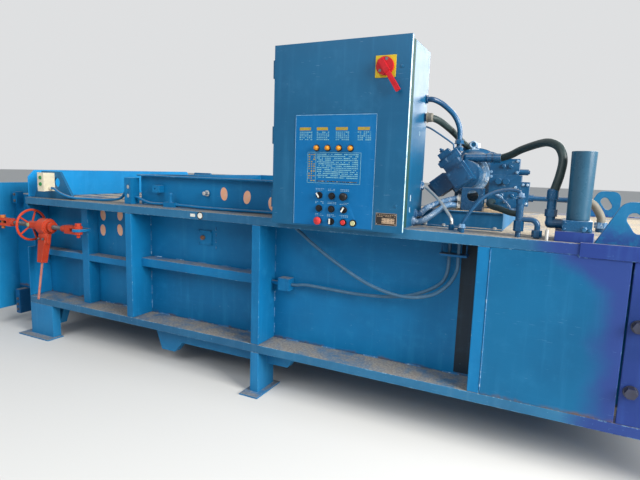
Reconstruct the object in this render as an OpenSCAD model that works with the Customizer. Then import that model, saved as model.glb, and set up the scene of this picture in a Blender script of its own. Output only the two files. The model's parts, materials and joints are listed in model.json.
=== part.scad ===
// Horizontal recycling baler with a closed discharge door, in millimetres.
// X runs along the machine from the discharge end, Y runs away from the operator, Z is up.
// The origin lies on the floor below the corner where the operator's end plate meets the flange line.

/* [Body] */
// Height of the press body from flange to flange
body_h = 800; // [700:10:900]
// Width of the bale chamber between its walls
chamber_w = 1450; // [1100:10:1700]
// Distance from the end plate to the rear end of the body
end_x = 4500; // [4450:10:4700]
// Thickness of the chamber walls
wall_t = 12; // [8:1:20]
// Thickness of the chamber floor
floor_t = 20; // [12:1:30]
// Depth of the flanges and of the main ribs
flange_d = 175; // [150:5:220]
// Height of the folded lip on the flanges
flange_lip = 50; // [40:1:60]
// Thickness of flanges, ribs and end plates
plate_t = 10; // [6:1:12]
// Clear height under the body
leg_h = 250; // [200:10:350]
// Length of the box legs
leg_w = 250; // [200:10:300]

/* [Ribs and bars] */
// Start of the shallow rib that carries the door lock
short_rib_x = 493; // [470:1:540]
// Width of the shallow rib
short_rib_w = 65; // [50:1:75]
// Depth of the shallow rib and of the cross bars
short_rib_d = 90; // [80:1:100]
// Start of the first main rib
rib_b_x = 1020; // [980:5:1080]
// Distance from the second main rib to the cabinet's left side
rib_c_back = 175; // [150:5:200]
// Distance from the skid's left side to the third main rib
rib_d_run = 330; // [320:5:350]
// Width of the main ribs
rib_w = 55; // [45:1:70]
// Underside of the first cross bar above the floor plate
bar_a_z = 315; // [280:5:340]
// Height of the first cross bar
bar_a_h = 45; // [40:1:60]
// Underside of the second cross bar above the floor plate
bar_b_z = 338; // [300:5:380]
// Height of the second cross bar
bar_b_h = 58; // [50:1:70]

/* [Hopper and deck] */
// Discharge side of the feed opening
hopper_x0 = 990; // [900:5:1010]
// Ram side of the feed opening
hopper_x1 = 2110; // [2060:5:2140]
// Height of the hopper walls above the deck
hopper_h = 200; // [150:5:260]
// Width of the rolled lip on the hopper
hopper_lip = 40; // [25:1:50]
// Thickness of the deck plates
deck_t = 12; // [8:1:16]
// Number of tie slots over the bale chamber
slot_count = 6; // [3:1:8]
// Width of one tie slot
slot_w = 50; // [30:1:60]

/* [Discharge door] */
// Distance from the end plate to the door's inner face
door_offset = 400; // [350:10:450]
// Thickness of the door skin
door_t = 16; // [10:1:25]
// Height of the door
door_h = 1010; // [960:10:1040]
// Bottom of the door above the floor
door_z = 130; // [100:5:180]
// How far the door reaches past the flange line towards the operator
door_reach = 60; // [40:5:90]
// Depth of the channels across the door
door_rib_d = 100; // [60:5:120]
// Diameter of the hinge pins
hinge_pin_d = 40; // [30:1:50]

/* [Door lock] */
// Height of the lock's screw above the floor plate
lock_h = 545; // [520:5:570]
// Distance of the lock's screw behind the flange line
lock_y = 10; // [0:1:20]
// Position of the pin that anchors the lock
anchor_x = 555; // [550:1:565]
// Distance from the end plate out to the pin at the door
door_pin_x = 300; // [290:1:305]
// Diameter of the lock's pins
lock_pin_d = 24; // [20:1:26]
// Diameter of the lock's screw
screw_d = 30; // [24:1:34]
// Diameter of the handwheel
wheel_d = 240; // [200:5:250]
// Lean of the ratchet lever from the vertical, in degrees
lever_lean = 9; // [5:1:12]

/* [Ram] */
// Distance from the hopper's ram side to the drawn-back platen
platen_gap = 40; // [10:5:60]
// Length of the ram cover behind the platen face
ram_len = 1160; // [1000:10:1200]
// Gap between the ram and the chamber walls
ram_gap = 6; // [3:1:12]
// Thickness of the wear shoes
shoe_t = 15; // [8:1:20]
// Outer diameter of the cylinder
cylinder_d = 190; // [160:5:220]
// Diameter of the piston rod
rod_d = 90; // [70:5:110]
// Distance from the platen's face to the cylinder
cylinder_lag = 350; // [320:5:380]

/* [Control cabinet] */
// Gap between the hopper and the cabinet
cabinet_gap = 80; // [60:5:90]
// Width of the cabinet
cabinet_w = 705; // [700:1:710]
// Height of the cabinet
cabinet_h = 890; // [880:10:900]
// Back of the cabinet behind the flange line
cabinet_y = 320; // [300:5:330]
// How far the cabinet stands out in front of the flange line
cabinet_front = 24; // [15:1:40]
// Sheet thickness of the cabinet
sheet_t = 4; // [2:1:5]
// Thickness of the cabinet door
cab_door_t = 24; // [20:1:30]
// Diameter of the holes for the operators in the panel
operator_d = 25; // [22:1:28]

/* [Power unit] */
// Gap between the cabinet and the power unit
unit_gap = 25; // [15:1:35]
// Length of the skid along the machine
skid_w = 405; // [400:1:410]
// Depth of the skid
skid_d = 960; // [940:10:1000]
// Height of the skid
skid_h = 90; // [80:1:100]
// Front of the skid behind the flange line
skid_y = 240; // [230:1:245]
// Height of the pump's shaft above the skid
shaft_h = 180; // [175:1:185]
// Diameter of the motor
motor_d = 310; // [280:5:320]
// Diameter of the filter canister
filter_d = 100; // [90:1:110]
// Height of the filter canister
filter_h = 293; // [250:1:330]

/* [Hidden] */
$fn = 48;

paint = "#1f6fae";
dark_paint = "#1b5488";
overspray = "#2f3f94";
lock_paint = "#c9432f";
steel = "#9a9a96";

// Heights of the body
z_floor = leg_h + flange_lip;
z_top = leg_h + body_h;
z_deck = z_top - deck_t;
// Planes across the body
y_near = flange_d;
y_in = y_near + wall_t;
y_in_far = y_in + chamber_w;
y_far = y_in_far + wall_t;
body_w = y_far + flange_d;
y_mid = body_w / 2;
// Cabinet, power unit and ribs, one after the other behind the hopper
cabinet_x = hopper_x1 + cabinet_gap;
cab_x1 = cabinet_x + cabinet_w;
skid_x = cab_x1 + unit_gap;
skid_x1 = skid_x + skid_w;
rib_c_x = cabinet_x - rib_c_back;
rib_d_x = skid_x + rib_d_run;
platen_x = hopper_x1 + platen_gap;
cylinder_x = platen_x + cylinder_lag;
// Closed side tank and the joint beside it
tank_x = rib_d_x + rib_w + 550;
joint_gap = 8;
foot_t = 10;
fit = 0.1;
hair = 0.3;
eps = 1;

// One side face of a full depth rib, as Y and Z
rib_side = [
    [0, z_floor], [y_near, z_floor], [y_near, z_top - plate_t], [plate_t, z_top - plate_t],
    [plate_t, z_top - flange_lip], [0, z_top - flange_lip]
];

// A block between two opposite corners
module block(low, high) {
    translate(low) cube(high - low);
}

// A plate across the machine from an outline in Y and Z
module cross_plate(x, t, outline) {
    translate([x, 0, 0]) rotate([90, 0, 90]) linear_extrude(t) polygon(outline);
}

// A plate along the machine from an outline in X and Z
module long_plate(y, t, outline) {
    translate([0, y + t, 0]) rotate([90, 0, 0]) linear_extrude(t) polygon(outline);
}

// A round bar along X, along Y or standing up
module bar_x(x0, x1, y, z, d) {
    translate([x0, y, z]) rotate([0, 90, 0]) cylinder(d = d, h = x1 - x0);
}

module bar_y(y0, y1, x, z, d) {
    translate([x, y0, z]) rotate([-90, 0, 0]) cylinder(d = d, h = y1 - y0);
}

module bar_z(z0, z1, x, y, d) {
    translate([x, y, z0]) cylinder(d = d, h = z1 - z0);
}

// A six-sided head or nut, across its corners
module hex_y(y0, y1, x, z, d) {
    translate([x, y0, z]) rotate([-90, 0, 0]) cylinder(d = d, h = y1 - y0, $fn = 6);
}

module hex_z(z0, z1, x, y, d) {
    translate([x, y, z0]) cylinder(d = d, h = z1 - z0, $fn = 6);
}

// The same thing on the operator's side and on the far side
module both_sides() {
    children();
    translate([0, body_w, 0]) mirror([0, 1, 0]) children();
}

// Smooth route through hand-set points, straight on its first and last stretch
function curve_point(r, i, u) = let(
        a = r[i - 1], b = r[i], c = r[i + 1], d = r[i + 2]
    ) 0.5 * (2 * b + (c - a) * u + (2 * a - 5 * b + 4 * c - d) * u * u
        + (3 * b - a - 3 * c + d) * u * u * u);

function smooth_route(r, steps) = concat(
    [r[0]],
    [for (i = [1:len(r) - 3], k = [0:steps - 1]) curve_point(r, i, k / steps)],
    [r[len(r) - 2], r[len(r) - 1]]
);

function unit(v) = v / norm(v);

function tangent(p, i) = unit(p[min(i + 1, len(p) - 1)] - p[max(i - 1, 0)]);

// Ring directions carried along the route without twist
function carried(p, i, n) = let(
        t = tangent(p, i), m = unit(n - (n * t) * t)
    ) i == len(p) - 1 ? [m] : concat([m], carried(p, i + 1, m));

// One closed tube swept along a route
module tube(route, d, steps = 3, sides = 8) {
    p = smooth_route(route, steps);
    first = tangent(p, 0);
    n = carried(p, 0, abs(first[2]) < 0.9 ? [0, 0, 1] : [0, 1, 0]);
    rings = len(p);
    points = [
        for (i = [0:rings - 1], k = [0:sides - 1])
            let(a = 360 * k / sides, s = cross(tangent(p, i), n[i]))
            p[i] + d / 2 * (cos(a) * n[i] + sin(a) * s)
    ];
    skin = [
        for (i = [0:rings - 2], k = [0:sides - 1], half = [0, 1])
            let(a = i * sides + k, b = i * sides + (k + 1) % sides)
            half == 0 ? [a, a + sides, b] : [b, a + sides, b + sides]
    ];
    caps = [[for (k = [0:sides - 1]) k], [for (k = [0:sides - 1]) rings * sides - 1 - k]];
    polyhedron(points = points, faces = concat(skin, caps), convexity = 8);
}

// Chamber and deck

module floor_plate() {
    color(dark_paint)
        block([-door_offset, y_near, z_floor - floor_t], [end_x, y_far, z_floor]);
}

module side_walls() {
    color(paint) both_sides()
        block([-door_offset, y_near, z_floor], [end_x, y_in, z_top]);
}

// Plate with tie slots over the bale chamber, and the plain deck behind the hopper
slot_margin = 60;
slot_pitch = chamber_w / (slot_count + 1);

module deck_plates() {
    color(paint) {
        difference() {
            block([-door_offset, y_in, z_deck], [hopper_x0 + wall_t, y_in_far, z_top]);
            for (i = [1:slot_count])
                block([-door_offset + slot_margin, y_in + i * slot_pitch - slot_w / 2, z_deck - eps],
                    [hopper_x0 - slot_margin, y_in + i * slot_pitch + slot_w / 2, z_top + eps]);
        }
        block([hopper_x1 - wall_t, y_in, z_deck], [end_x, y_in_far, z_top]);
    }
}

// Folded flange with its lip down, seen in Y and Z from its upper edge
module flange(z) {
    cross_plate(0, end_x, [
        [0, z - flange_lip], [plate_t, z - flange_lip], [plate_t, z - plate_t],
        [y_near, z - plate_t], [y_near, z], [0, z]
    ]);
}

module flanges() {
    color(paint) both_sides() {
        flange(z_floor);
        flange(z_top);
    }
}

// Ribs and bars

module main_rib(x) {
    difference() {
        cross_plate(x, rib_w, rib_side);
        block([x + plate_t, plate_t, z_floor - eps], [x + rib_w - plate_t, y_near + eps, z_top]);
    }
}

module main_ribs() {
    color(paint) both_sides()
        for (x = [rib_b_x, rib_c_x, rib_d_x]) main_rib(x);
}

y_short = y_near - short_rib_d;
bar_a_low = z_floor + bar_a_z;
bar_b_low = z_floor + bar_b_z;

// Folded cross bar against the wall
module cross_bar(x0, x1, low, h) {
    cross_plate(x0, x1 - x0, [
        [y_short, low], [y_short + plate_t, low], [y_short + plate_t, low + h - plate_t],
        [y_near, low + h - plate_t], [y_near, low + h], [y_short, low + h]
    ]);
}

module short_rib(z0, z1) {
    x = short_rib_x;
    difference() {
        block([x, y_short, z0], [x + short_rib_w, y_near, z1]);
        block([x + plate_t, y_short + plate_t, z0 - eps],
            [x + short_rib_w - plate_t, y_near + eps, z1 + eps]);
    }
}

lock_z = z_floor + lock_h;
lug_t = 20;
lug_r = 40;

// Plate on the shallow rib with the eye for the lock's anchor pin
module anchor_lug() {
    difference() {
        union() {
            bar_z(lock_z - lug_t / 2, lock_z + lug_t / 2, anchor_x, lock_y, lug_r * 2);
            block([short_rib_x + short_rib_w - lug_r, lock_y, lock_z - lug_t / 2],
                [anchor_x + lug_r, y_short, lock_z + lug_t / 2]);
        }
        bar_z(lock_z - lug_t, lock_z + lug_t, anchor_x, lock_y, lock_pin_d + 2 * fit);
    }
}

module wall_stiffeners() {
    color(paint) {
        both_sides() {
            short_rib(z_floor, bar_a_low);
            short_rib(bar_a_low + bar_a_h, z_top - plate_t);
            cross_bar(plate_t, rib_b_x, bar_a_low, bar_a_h);
            cross_bar(rib_b_x + rib_w, rib_c_x, bar_b_low, bar_b_h);
        }
        anchor_lug();
    }
}

// End plate with the notch that clears the door lock
notch_d = 55;
notch_low = lock_z - 169;
notch_high = lock_z + 95;

module end_plates() {
    color(paint) {
        cross_plate(0, plate_t, [
            [0, z_floor], [y_near, z_floor], [y_near, z_top - plate_t],
            [plate_t, z_top - plate_t], [plate_t, notch_high + notch_d - plate_t],
            [notch_d, notch_high], [notch_d, notch_low], [0, notch_low]
        ]);
        translate([0, body_w, 0]) mirror([0, 1, 0]) cross_plate(0, plate_t, rib_side);
    }
}

// Legs, feet and keels

module leg(x, w, d) {
    difference() {
        union() {
            block([x, 0, foot_t], [x + w, d, leg_h]);
            block([x, plate_t, leg_h], [x + w, d, z_floor - plate_t]);
        }
        block([x + plate_t, plate_t, foot_t + plate_t],
            [x + w - plate_t, d - plate_t, z_floor]);
    }
}

leg_d = 65;
foot_margin = 35;
foot_front = 60;
foot_toe = 70;

module foot_plate(x0, x1, y1) {
    block([x0, -foot_front, 0], [x1, y1, foot_t]);
}

keel_y = 100;
keel_t = 60;
keel_low = 155;
keel_deep = 82;
keel_x0 = rib_b_x + 130;
keel_x1 = rib_c_x + rib_w + 230;

// Gusset behind the front leg and the two keels beside the middle leg
module keels() {
    z1 = z_floor - plate_t;
    long_plate(keel_y, keel_t, [
        [leg_w * 0.24, z1], [leg_w * 0.4, keel_deep], [leg_w * 0.76, keel_deep], [leg_w + 30, z1]
    ]);
    long_plate(keel_y, keel_t, [
        [keel_x0, z1], [keel_x0 + 81, keel_deep], [keel_x0 + 193, keel_deep],
        [keel_x0 + 255, keel_low], [rib_c_x, keel_low], [rib_c_x, z1]
    ]);
    long_plate(keel_y, keel_t, [
        [rib_c_x + rib_w, z1], [rib_c_x + rib_w, keel_low], [keel_x1 - 90, keel_low],
        [keel_x1, z1]
    ]);
}

module undercarriage() {
    color(dark_paint) both_sides() {
        leg(0, leg_w, leg_d);
        foot_plate(-foot_toe, leg_w + 20, leg_d + 5);
        leg(rib_c_x, rib_w, y_near);
        foot_plate(rib_c_x - foot_margin, rib_c_x + rib_w + foot_margin, y_near + 25);
        leg(end_x - leg_w, leg_w, leg_d);
        foot_plate(end_x - leg_w - 20, end_x + foot_toe, leg_d + 5);
        keels();
    }
}

// Hopper, header and lifting lugs

module hopper_walls() {
    z1 = z_top + hopper_h;
    color(paint) {
        both_sides() cross_plate(hopper_x0, hopper_x1 - hopper_x0, [
            [y_near, z_top], [y_in, z_top], [y_in, z1], [y_near - hopper_lip, z1],
            [y_near - hopper_lip, z1 - plate_t], [y_near, z1 - plate_t]
        ]);
        for (x = [hopper_x0, hopper_x1 - wall_t])
            block([x, y_in, z_top], [x + wall_t, y_in_far, z1]);
    }
}

header_inset = 25;
header_bevel = 50;

module header_plate() {
    z1 = z_top + hopper_h;
    color(paint) {
        cross_plate(0, plate_t, [
            [header_inset, z_top], [body_w - header_inset, z_top],
            [body_w - header_inset, z1 - header_bevel],
            [body_w - header_inset - header_bevel, z1],
            [header_inset + header_bevel, z1], [header_inset, z1 - header_bevel]
        ]);
        for (i = [1:2:slot_count - 1])
            long_plate(y_in + (i + 0.5) * slot_pitch, plate_t, [
                [0, z_top], [0, z1 - header_bevel], [-door_offset * 0.6, z_top]
            ]);
    }
}

lift_lug_t = 20;
lift_lug_y = 60;
lift_lug_w = 435;
lift_lug_h = 195;
lift_lug_x = 20;
lift_eye_x = lift_lug_x + 257;
lift_eye_z = z_top + 117;
lift_hole_d = 70;
rear_lug_x = rib_d_x + rib_w + 410;

// Flat lug with sloping sides and a round eye
module front_lug() {
    difference() {
        long_plate(lift_lug_y, lift_lug_t, [
            [lift_lug_x, z_top], [lift_lug_x + lift_lug_w, z_top],
            [lift_lug_x + 298, z_top + lift_lug_h], [lift_lug_x + 95, z_top + lift_lug_h]
        ]);
        bar_y(lift_lug_y - eps, lift_lug_y + lift_lug_t + eps, lift_eye_x, lift_eye_z,
            lift_hole_d);
    }
}

// Lug with one sloping and one upright side, rounded corners and a leaning slot
module rear_lug() {
    corner_r = 52;
    top = 182;
    left_c = 124.5;
    right_c = 180.5;
    slot_run = 21;
    slot_d = 52;
    translate([rear_lug_x, lift_lug_y + lift_lug_t, z_top]) rotate([90, 0, 0])
        linear_extrude(lift_lug_t) difference() {
            union() {
                polygon([
                    [0, 0], [left_c - corner_r * 0.892, top - corner_r * 0.548], [left_c, top],
                    [right_c, top], [right_c + corner_r, top - corner_r], [right_c + corner_r, 0]
                ]);
                for (x = [left_c, right_c]) translate([x, top - corner_r]) circle(corner_r);
            }
            translate([145, 93.5]) rotate(-57) {
                square([2 * slot_run, slot_d], center = true);
                for (x = [-slot_run, slot_run]) translate([x, 0]) circle(d = slot_d);
            }
        }
}

module lifting_lugs() {
    color(paint) both_sides() {
        front_lug();
        rear_lug();
    }
}

// Tank section and rear end

cap_t = 6;
cap_x = rib_d_x + rib_w + 355;

module tank_panels() {
    color(dark_paint) both_sides() {
        block([rib_d_x + rib_w, 0, z_floor], [tank_x, joint_gap, z_top - flange_lip]);
        cross_plate(cap_x, end_x - cap_x, [
            [-cap_t, z_top - flange_lip - cap_t], [0, z_top - flange_lip - cap_t], [0, z_top],
            [2 * cap_t, z_top], [2 * cap_t, z_top + cap_t], [-cap_t, z_top + cap_t]
        ]);
    }
}

bulkhead_x = end_x - 160;
bulkhead_t = 40;

module rear_frame() {
    color(overspray) {
        both_sides()
            block([tank_x + joint_gap, 0, z_floor], [end_x, plate_t * 1.5, z_top - flange_lip]);
        block([bulkhead_x, y_in, z_floor], [bulkhead_x + bulkhead_t, y_in_far, z_deck]);
    }
}

bolt_d = 50;
bolt_h = 22;

module frame_bolts() {
    color("#26262a") both_sides()
        for (x = [tank_x + joint_gap + 40, end_x - 100], z = [z_floor + 150, z_floor + 430]) {
            bar_y(-5, 0, x, z, bolt_d * 1.15);
            hex_y(-5 - bolt_h, -5, x, z, bolt_d);
        }
}

// Small boxes and fittings on the operator's side
box_x = 913;
box_w = 60;
box_d = 75;
box_y = 125;
prox_z = z_top - 400;
switch_x = cabinet_x + 10;
switch_w = 75;

module wall_boxes() {
    color(paint) {
        // Junction box with two open knockouts
        difference() {
            block([box_x, y_near - box_d, z_top], [box_x + box_w, y_near, z_top + 175]);
            for (z = [z_top + 55, z_top + 115])
                bar_y(y_near - box_d - eps, y_near - box_d + 6, box_x + box_w / 2, z, 28);
        }
        // Sensor block and sensor nose on the hopper wall
        difference() {
            block([1136, y_near - 45, z_top + 87], [1200, y_near, z_top + 134]);
            bar_y(y_near - 46, y_near - 30, 1158, z_top + 110, 12);
        }
        bar_y(y_near - 40, y_near, 1563, z_top + 100, 24);
        bar_y(y_near - 12, y_near - 6, 1563, z_top + 100, 38);
        // Conduit body with a capped riser
        block([1255, box_y - 20, z_top], [1345, box_y + 20, z_top + 30]);
        bar_z(z_top + 30, z_top + 75, 1300, box_y, 22);
        hex_z(z_top + 75, z_top + 90, 1300, box_y, 30);
        // Cover plate and its bolt
        block([1491, y_near - 8, z_floor + 520], [1598, y_near, z_floor + 612]);
        hex_y(y_near - 24, y_near - 8, 1533, z_floor + 566, 30);
        // Switch box beside the second main rib, with its nipple
        block([switch_x - switch_w, y_near - 60, prox_z - 36], [switch_x, y_near, prox_z + 36]);
        bar_x(rib_c_x + rib_w, switch_x - switch_w, y_near - 30, prox_z, 26);
        // Door switch and lower door guide
        block([-door_offset + 60, y_near - 55, z_top - 70], [-door_offset + 110, y_near, z_top + 20]);
        block([-door_offset + 60, y_near - 75, z_floor - 215],
            [-door_offset + 110, y_near + 15, z_floor - floor_t]);
    }
}

// Discharge door, hung at the far side

hinge_x = -door_offset - door_t - 15;
hinge_y = y_far + 60;
hinge_half = 35;
hinge_levels = [door_z + 190, door_z + door_h / 2, door_z + door_h - 230];
ear_t = 18;

module hinge_ear(z0) {
    difference() {
        union() {
            translate([0, 0, z0]) linear_extrude(ear_t) polygon([
                [-door_offset + 2, y_far], [-door_offset + 120, y_far],
                [hinge_x + 22, hinge_y + 22], [hinge_x - 20, hinge_y + 22],
                [hinge_x - 20, y_far + 12], [-door_offset + 2, y_far + 12]
            ]);
            bar_z(z0, z0 + ear_t, hinge_x, hinge_y, hinge_pin_d + 40);
        }
        bar_z(z0 - eps, z0 + ear_t + eps, hinge_x, hinge_y, hinge_pin_d + 2 * fit);
    }
}

module door_hinge_pins() {
    reach = hinge_half + hair + ear_t;
    for (z = hinge_levels) {
        color(paint) {
            hinge_ear(z - reach);
            hinge_ear(z + hinge_half + hair);
        }
        color(steel) bar_z(z - reach - 15, z + reach, hinge_x, hinge_y, hinge_pin_d);
        color(steel) bar_z(z + reach, z + reach + 12, hinge_x, hinge_y, hinge_pin_d + 20);
    }
}

module door_panel() {
    color(paint)
        block([-door_offset - door_t, -door_reach, door_z], [-door_offset, y_far, door_z + door_h]);
}

// Notched lug that the lock's fork drops onto
module door_lug() {
    x0 = -door_offset;
    pin = -door_pin_x;
    loose = lock_pin_d / 2 + 28;
    difference() {
        block([x0, lock_y - 35, lock_z - lug_t / 2], [pin + 38, lock_y + 38, lock_z + lug_t / 2]);
        block([pin - loose, lock_y - 36, lock_z - lug_t], [pin + 39, lock_y + lock_pin_d / 2 + 5,
            lock_z + lug_t]);
    }
}

module door_leaf(z) {
    x0 = hinge_x - 15;
    x1 = hinge_x + 15;
    difference() {
        union() {
            block([x0, y_far - 260, z - hinge_half], [x1, hinge_y, z + hinge_half]);
            bar_z(z - hinge_half, z + hinge_half, hinge_x, hinge_y, hinge_pin_d + 36);
        }
        bar_z(z - hinge_half - eps, z + hinge_half + eps, hinge_x, hinge_y, hinge_pin_d + 2 * fit);
    }
}

door_bars = 4;

module door_frame() {
    x0 = -door_offset - door_t - door_rib_d;
    x1 = -door_offset - door_t;
    bar_h = 70;
    color(paint) {
        for (i = [0:door_bars - 1]) {
            z = door_z + 40 + i * (door_h - 80 - bar_h) / (door_bars - 1);
            block([x0, -door_reach + 70, z], [x1, y_far - 300, z + bar_h]);
        }
        for (y = [-door_reach, y_far - 300])
            block([x0, y, door_z], [x1, y + 70 - (y > 0 ? 30 : 0), door_z + door_h]);
        for (z = hinge_levels) door_leaf(z);
        door_lug();
    }
}

// Door lock: a ratchet turnbuckle with a handwheel

fork_gap = lug_t / 2 + 1;
fork_t = 18;
fork_w = 44;
screw_lead = 6;
barrel_x0 = 60;
barrel_x1 = 290;
barrel_d = 62;
case_x0 = 170;
case_x1 = 246;
screw_tip = case_x0 - 45;

// Fork around a lug, with its round ends at the pin and its neck towards the screw
module fork(x_pin, x_crotch, x_neck, hole) {
    low = min(x_crotch, x_neck);
    difference() {
        union() {
            for (z = [lock_z + fork_gap, lock_z - fork_gap - fork_t]) {
                bar_z(z, z + fork_t, x_pin, lock_y, fork_w + 12);
                block([min(x_pin, x_crotch), lock_y - fork_w / 2, z],
                    [max(x_pin, x_crotch), lock_y + fork_w / 2, z + fork_t]);
            }
            block([low, lock_y - fork_w / 2, lock_z - fork_gap - fork_t],
                [low + abs(x_crotch - x_neck), lock_y + fork_w / 2, lock_z + fork_gap + fork_t]);
        }
        bar_z(lock_z - 80, lock_z + 80, x_pin, lock_y, hole);
    }
}

module lock_pin(x) {
    top = lock_z + fork_gap + fork_t;
    bottom = lock_z - fork_gap - fork_t;
    bar_z(bottom - 24, top, x, lock_y, lock_pin_d);
    hex_z(top, top + 20, x, lock_y, lock_pin_d * 1.7);
}

module anchor_yoke() {
    crotch = anchor_x - 66;
    neck = anchor_x - 120;
    color(lock_paint) {
        fork(anchor_x, crotch, neck, lock_pin_d);
        bar_x(neck - 40, neck, lock_y, lock_z, screw_d + 16);
        lock_pin(anchor_x);
    }
    color(steel) bar_x(barrel_x1 - 80, neck - 40, lock_y, lock_z, screw_d);
}

module lock_barrel() {
    color(lock_paint) difference() {
        union() {
            bar_x(barrel_x0, barrel_x1, lock_y, lock_z, barrel_d);
            bar_x(barrel_x1 - 16, barrel_x1, lock_y, lock_z, barrel_d + 14);
        }
        bar_x(barrel_x0 - eps, screw_tip + 50, lock_y, lock_z, screw_d + 2 * fit);
        bar_x(barrel_x1 - 82, barrel_x1 + eps, lock_y, lock_z, screw_d + 2 * fit);
    }
}

wheel_x = 46;
rim_d = 17;
spokes = 5;

module handwheel() {
    color(lock_paint) translate([wheel_x, lock_y, lock_z]) rotate([0, 90, 0]) difference() {
        union() {
            rotate_extrude() translate([(wheel_d - rim_d) / 2, 0]) circle(d = rim_d);
            for (i = [0:spokes - 1]) rotate(18 + i * 360 / spokes)
                translate([20, 0, 0]) rotate([0, 90, 0])
                    cylinder(d = 13, h = wheel_d / 2 - rim_d / 2 - 18);
            translate([0, 0, -14]) cylinder(d = 56, h = 28);
        }
        translate([0, 0, -20]) cylinder(d = screw_d + 2 * fit, h = 60);
    }
}

lever_len = 265;
rod_len = 320;
lever_rod_d = 16;

// Ratchet case with its lever, leaning out from the vertical
module ratchet_lever() {
    mid = (case_x0 + case_x1) / 2;
    color(lock_paint) translate([0, lock_y, lock_z]) rotate([-lever_lean, 0, 0]) difference() {
        union() {
            bar_x(case_x0, case_x1, 0, 0, 118);
            bar_x(case_x1, case_x1 + 10, 0, 0, 92);
            translate([mid, 25, 0]) rotate([90, 0, 0]) linear_extrude(50) polygon([
                [-38, 0], [38, 0], [38, -110], [24, -lever_len], [-24, -lever_len], [-38, -110]
            ]);
            block([mid + 38, -14, -125], [mid + 52, 14, -55]);
            block([mid - 50, -12, -135], [mid - 38, 12, -95]);
        }
        bar_x(case_x0 - eps, case_x1 + 10 + eps, 0, 0, barrel_d + 2 * fit);
        translate([mid, 0, -lever_len - eps]) cylinder(d = lever_rod_d, h = 60);
    }
}

module lever_rod() {
    color("#c99a86") translate([0, lock_y, lock_z]) rotate([-lever_lean, 0, 0])
        translate([(case_x0 + case_x1) / 2, 0, -lever_len - rod_len + 50])
            cylinder(d = lever_rod_d, h = rod_len);
}

module door_yoke() {
    crotch = -door_pin_x + 74;
    neck = crotch + 44;
    color(lock_paint) {
        fork(-door_pin_x, crotch, neck, lock_pin_d);
        bar_x(neck, neck + 30, lock_y, lock_z, screw_d + 16);
    }
    color(steel) bar_x(neck + 30, screw_tip, lock_y, lock_z, screw_d);
}

module door_yoke_pin() {
    color("#c97a45") lock_pin(-door_pin_x);
}

// Ram and cylinder

ram_y0 = y_in + ram_gap;
ram_y1 = y_in_far - ram_gap;
ram_z0 = z_floor + shoe_t;
ram_z1 = z_deck - ram_gap;
face_t = 40;
skirt_t = 12;
shoe_w = 120;
cylinder_z = z_floor + 365;
cylinder_len = 1560;

module platen() {
    color("#5f6d78") {
        difference() {
            block([platen_x, ram_y0, ram_z0], [platen_x + ram_len, ram_y1, ram_z1]);
            block([platen_x + face_t, ram_y0 + skirt_t, ram_z0 - eps],
                [platen_x + ram_len + eps, ram_y1 - skirt_t, ram_z1 - skirt_t]);
            block([platen_x + 330, ram_y0 - eps, ram_z0 - eps],
                [platen_x + ram_len + eps, ram_y1 + eps, ram_z1 - 120]);
        }
        for (z = [ram_z0 + 90, ram_z1 - 190], y = [ram_y0 + skirt_t, y_mid + 180])
            block([platen_x + face_t, y, z], [platen_x + 300, y + y_mid - 180 - ram_y0 - skirt_t,
                z + 16]);
    }
}

module platen_shoes() {
    color("#8a8578") for (y = [ram_y0, ram_y1 - shoe_w])
        block([platen_x + 10, y, z_floor], [platen_x + 320, y + shoe_w, ram_z0]);
}

piston_x = cylinder_x + cylinder_len - 150;
cylinder_wall = 16;
bore_d = cylinder_d - 2 * cylinder_wall;

module piston_rod() {
    color("#c9ccd0") {
        bar_x(platen_x + face_t + 40, piston_x, y_mid, cylinder_z, rod_d);
        bar_x(piston_x, piston_x + 60, y_mid, cylinder_z, bore_d - 2 * fit);
        bar_x(platen_x + face_t, platen_x + face_t + 40, y_mid, cylinder_z, rod_d * 2);
    }
}

gland_len = 90;

// Cylinder tube with its gland, end cap and the two oil ports
module ram_cylinder() {
    x1 = cylinder_x + cylinder_len;
    color(paint) difference() {
        union() {
            bar_x(cylinder_x, x1, y_mid, cylinder_z, cylinder_d);
            bar_x(cylinder_x - 20, cylinder_x + gland_len - 20, y_mid, cylinder_z, cylinder_d + 50);
            bar_x(x1 - 50, x1, y_mid, cylinder_z, cylinder_d + 50);
            for (x = [cylinder_x + 110, x1 - 90])
                bar_z(cylinder_z, cylinder_z + cylinder_d / 2 + 45, x, y_mid, 50);
        }
        bar_x(cylinder_x + gland_len - 20, x1 - 50, y_mid, cylinder_z, bore_d);
        bar_x(cylinder_x - 21, cylinder_x + gland_len, y_mid, cylinder_z, rod_d + 2 * fit);
    }
}

// Clevis that carries the cylinder on the rear bulkhead
module cylinder_clevis() {
    x1 = cylinder_x + cylinder_len;
    color(dark_paint) {
        bar_x(x1, bulkhead_x, y_mid, cylinder_z, 120);
        for (y = [y_mid - 105, y_mid + 75])
            long_plate(y, 30, [
                [x1, cylinder_z - 55], [bulkhead_x, cylinder_z - 110],
                [bulkhead_x, cylinder_z + 110], [x1, cylinder_z + 55]
            ]);
    }
}

// Control cabinet

cab_z1 = z_top + cabinet_h;
cab_y0 = -cabinet_front;
cab_overlap = 10;
door_drop = 20;
door_x0 = cabinet_x - cab_overlap;
door_x1 = cab_x1 + cab_overlap;
door_z0 = z_top - door_drop;
door_z1 = cab_z1 + 5;
door_back = cab_y0 - 2;
door_front = door_back - cab_door_t;
cab_hinge_d = 18;
cab_hinge_x = door_x0 - cab_hinge_d / 2 - hair;
cab_hinge_y = door_back - 4;
cab_pin_d = 8;
cab_hinge_h = 90;
cab_hinge_levels = [z_top + 110, z_top + cabinet_h / 2, cab_z1 - 110];

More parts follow.
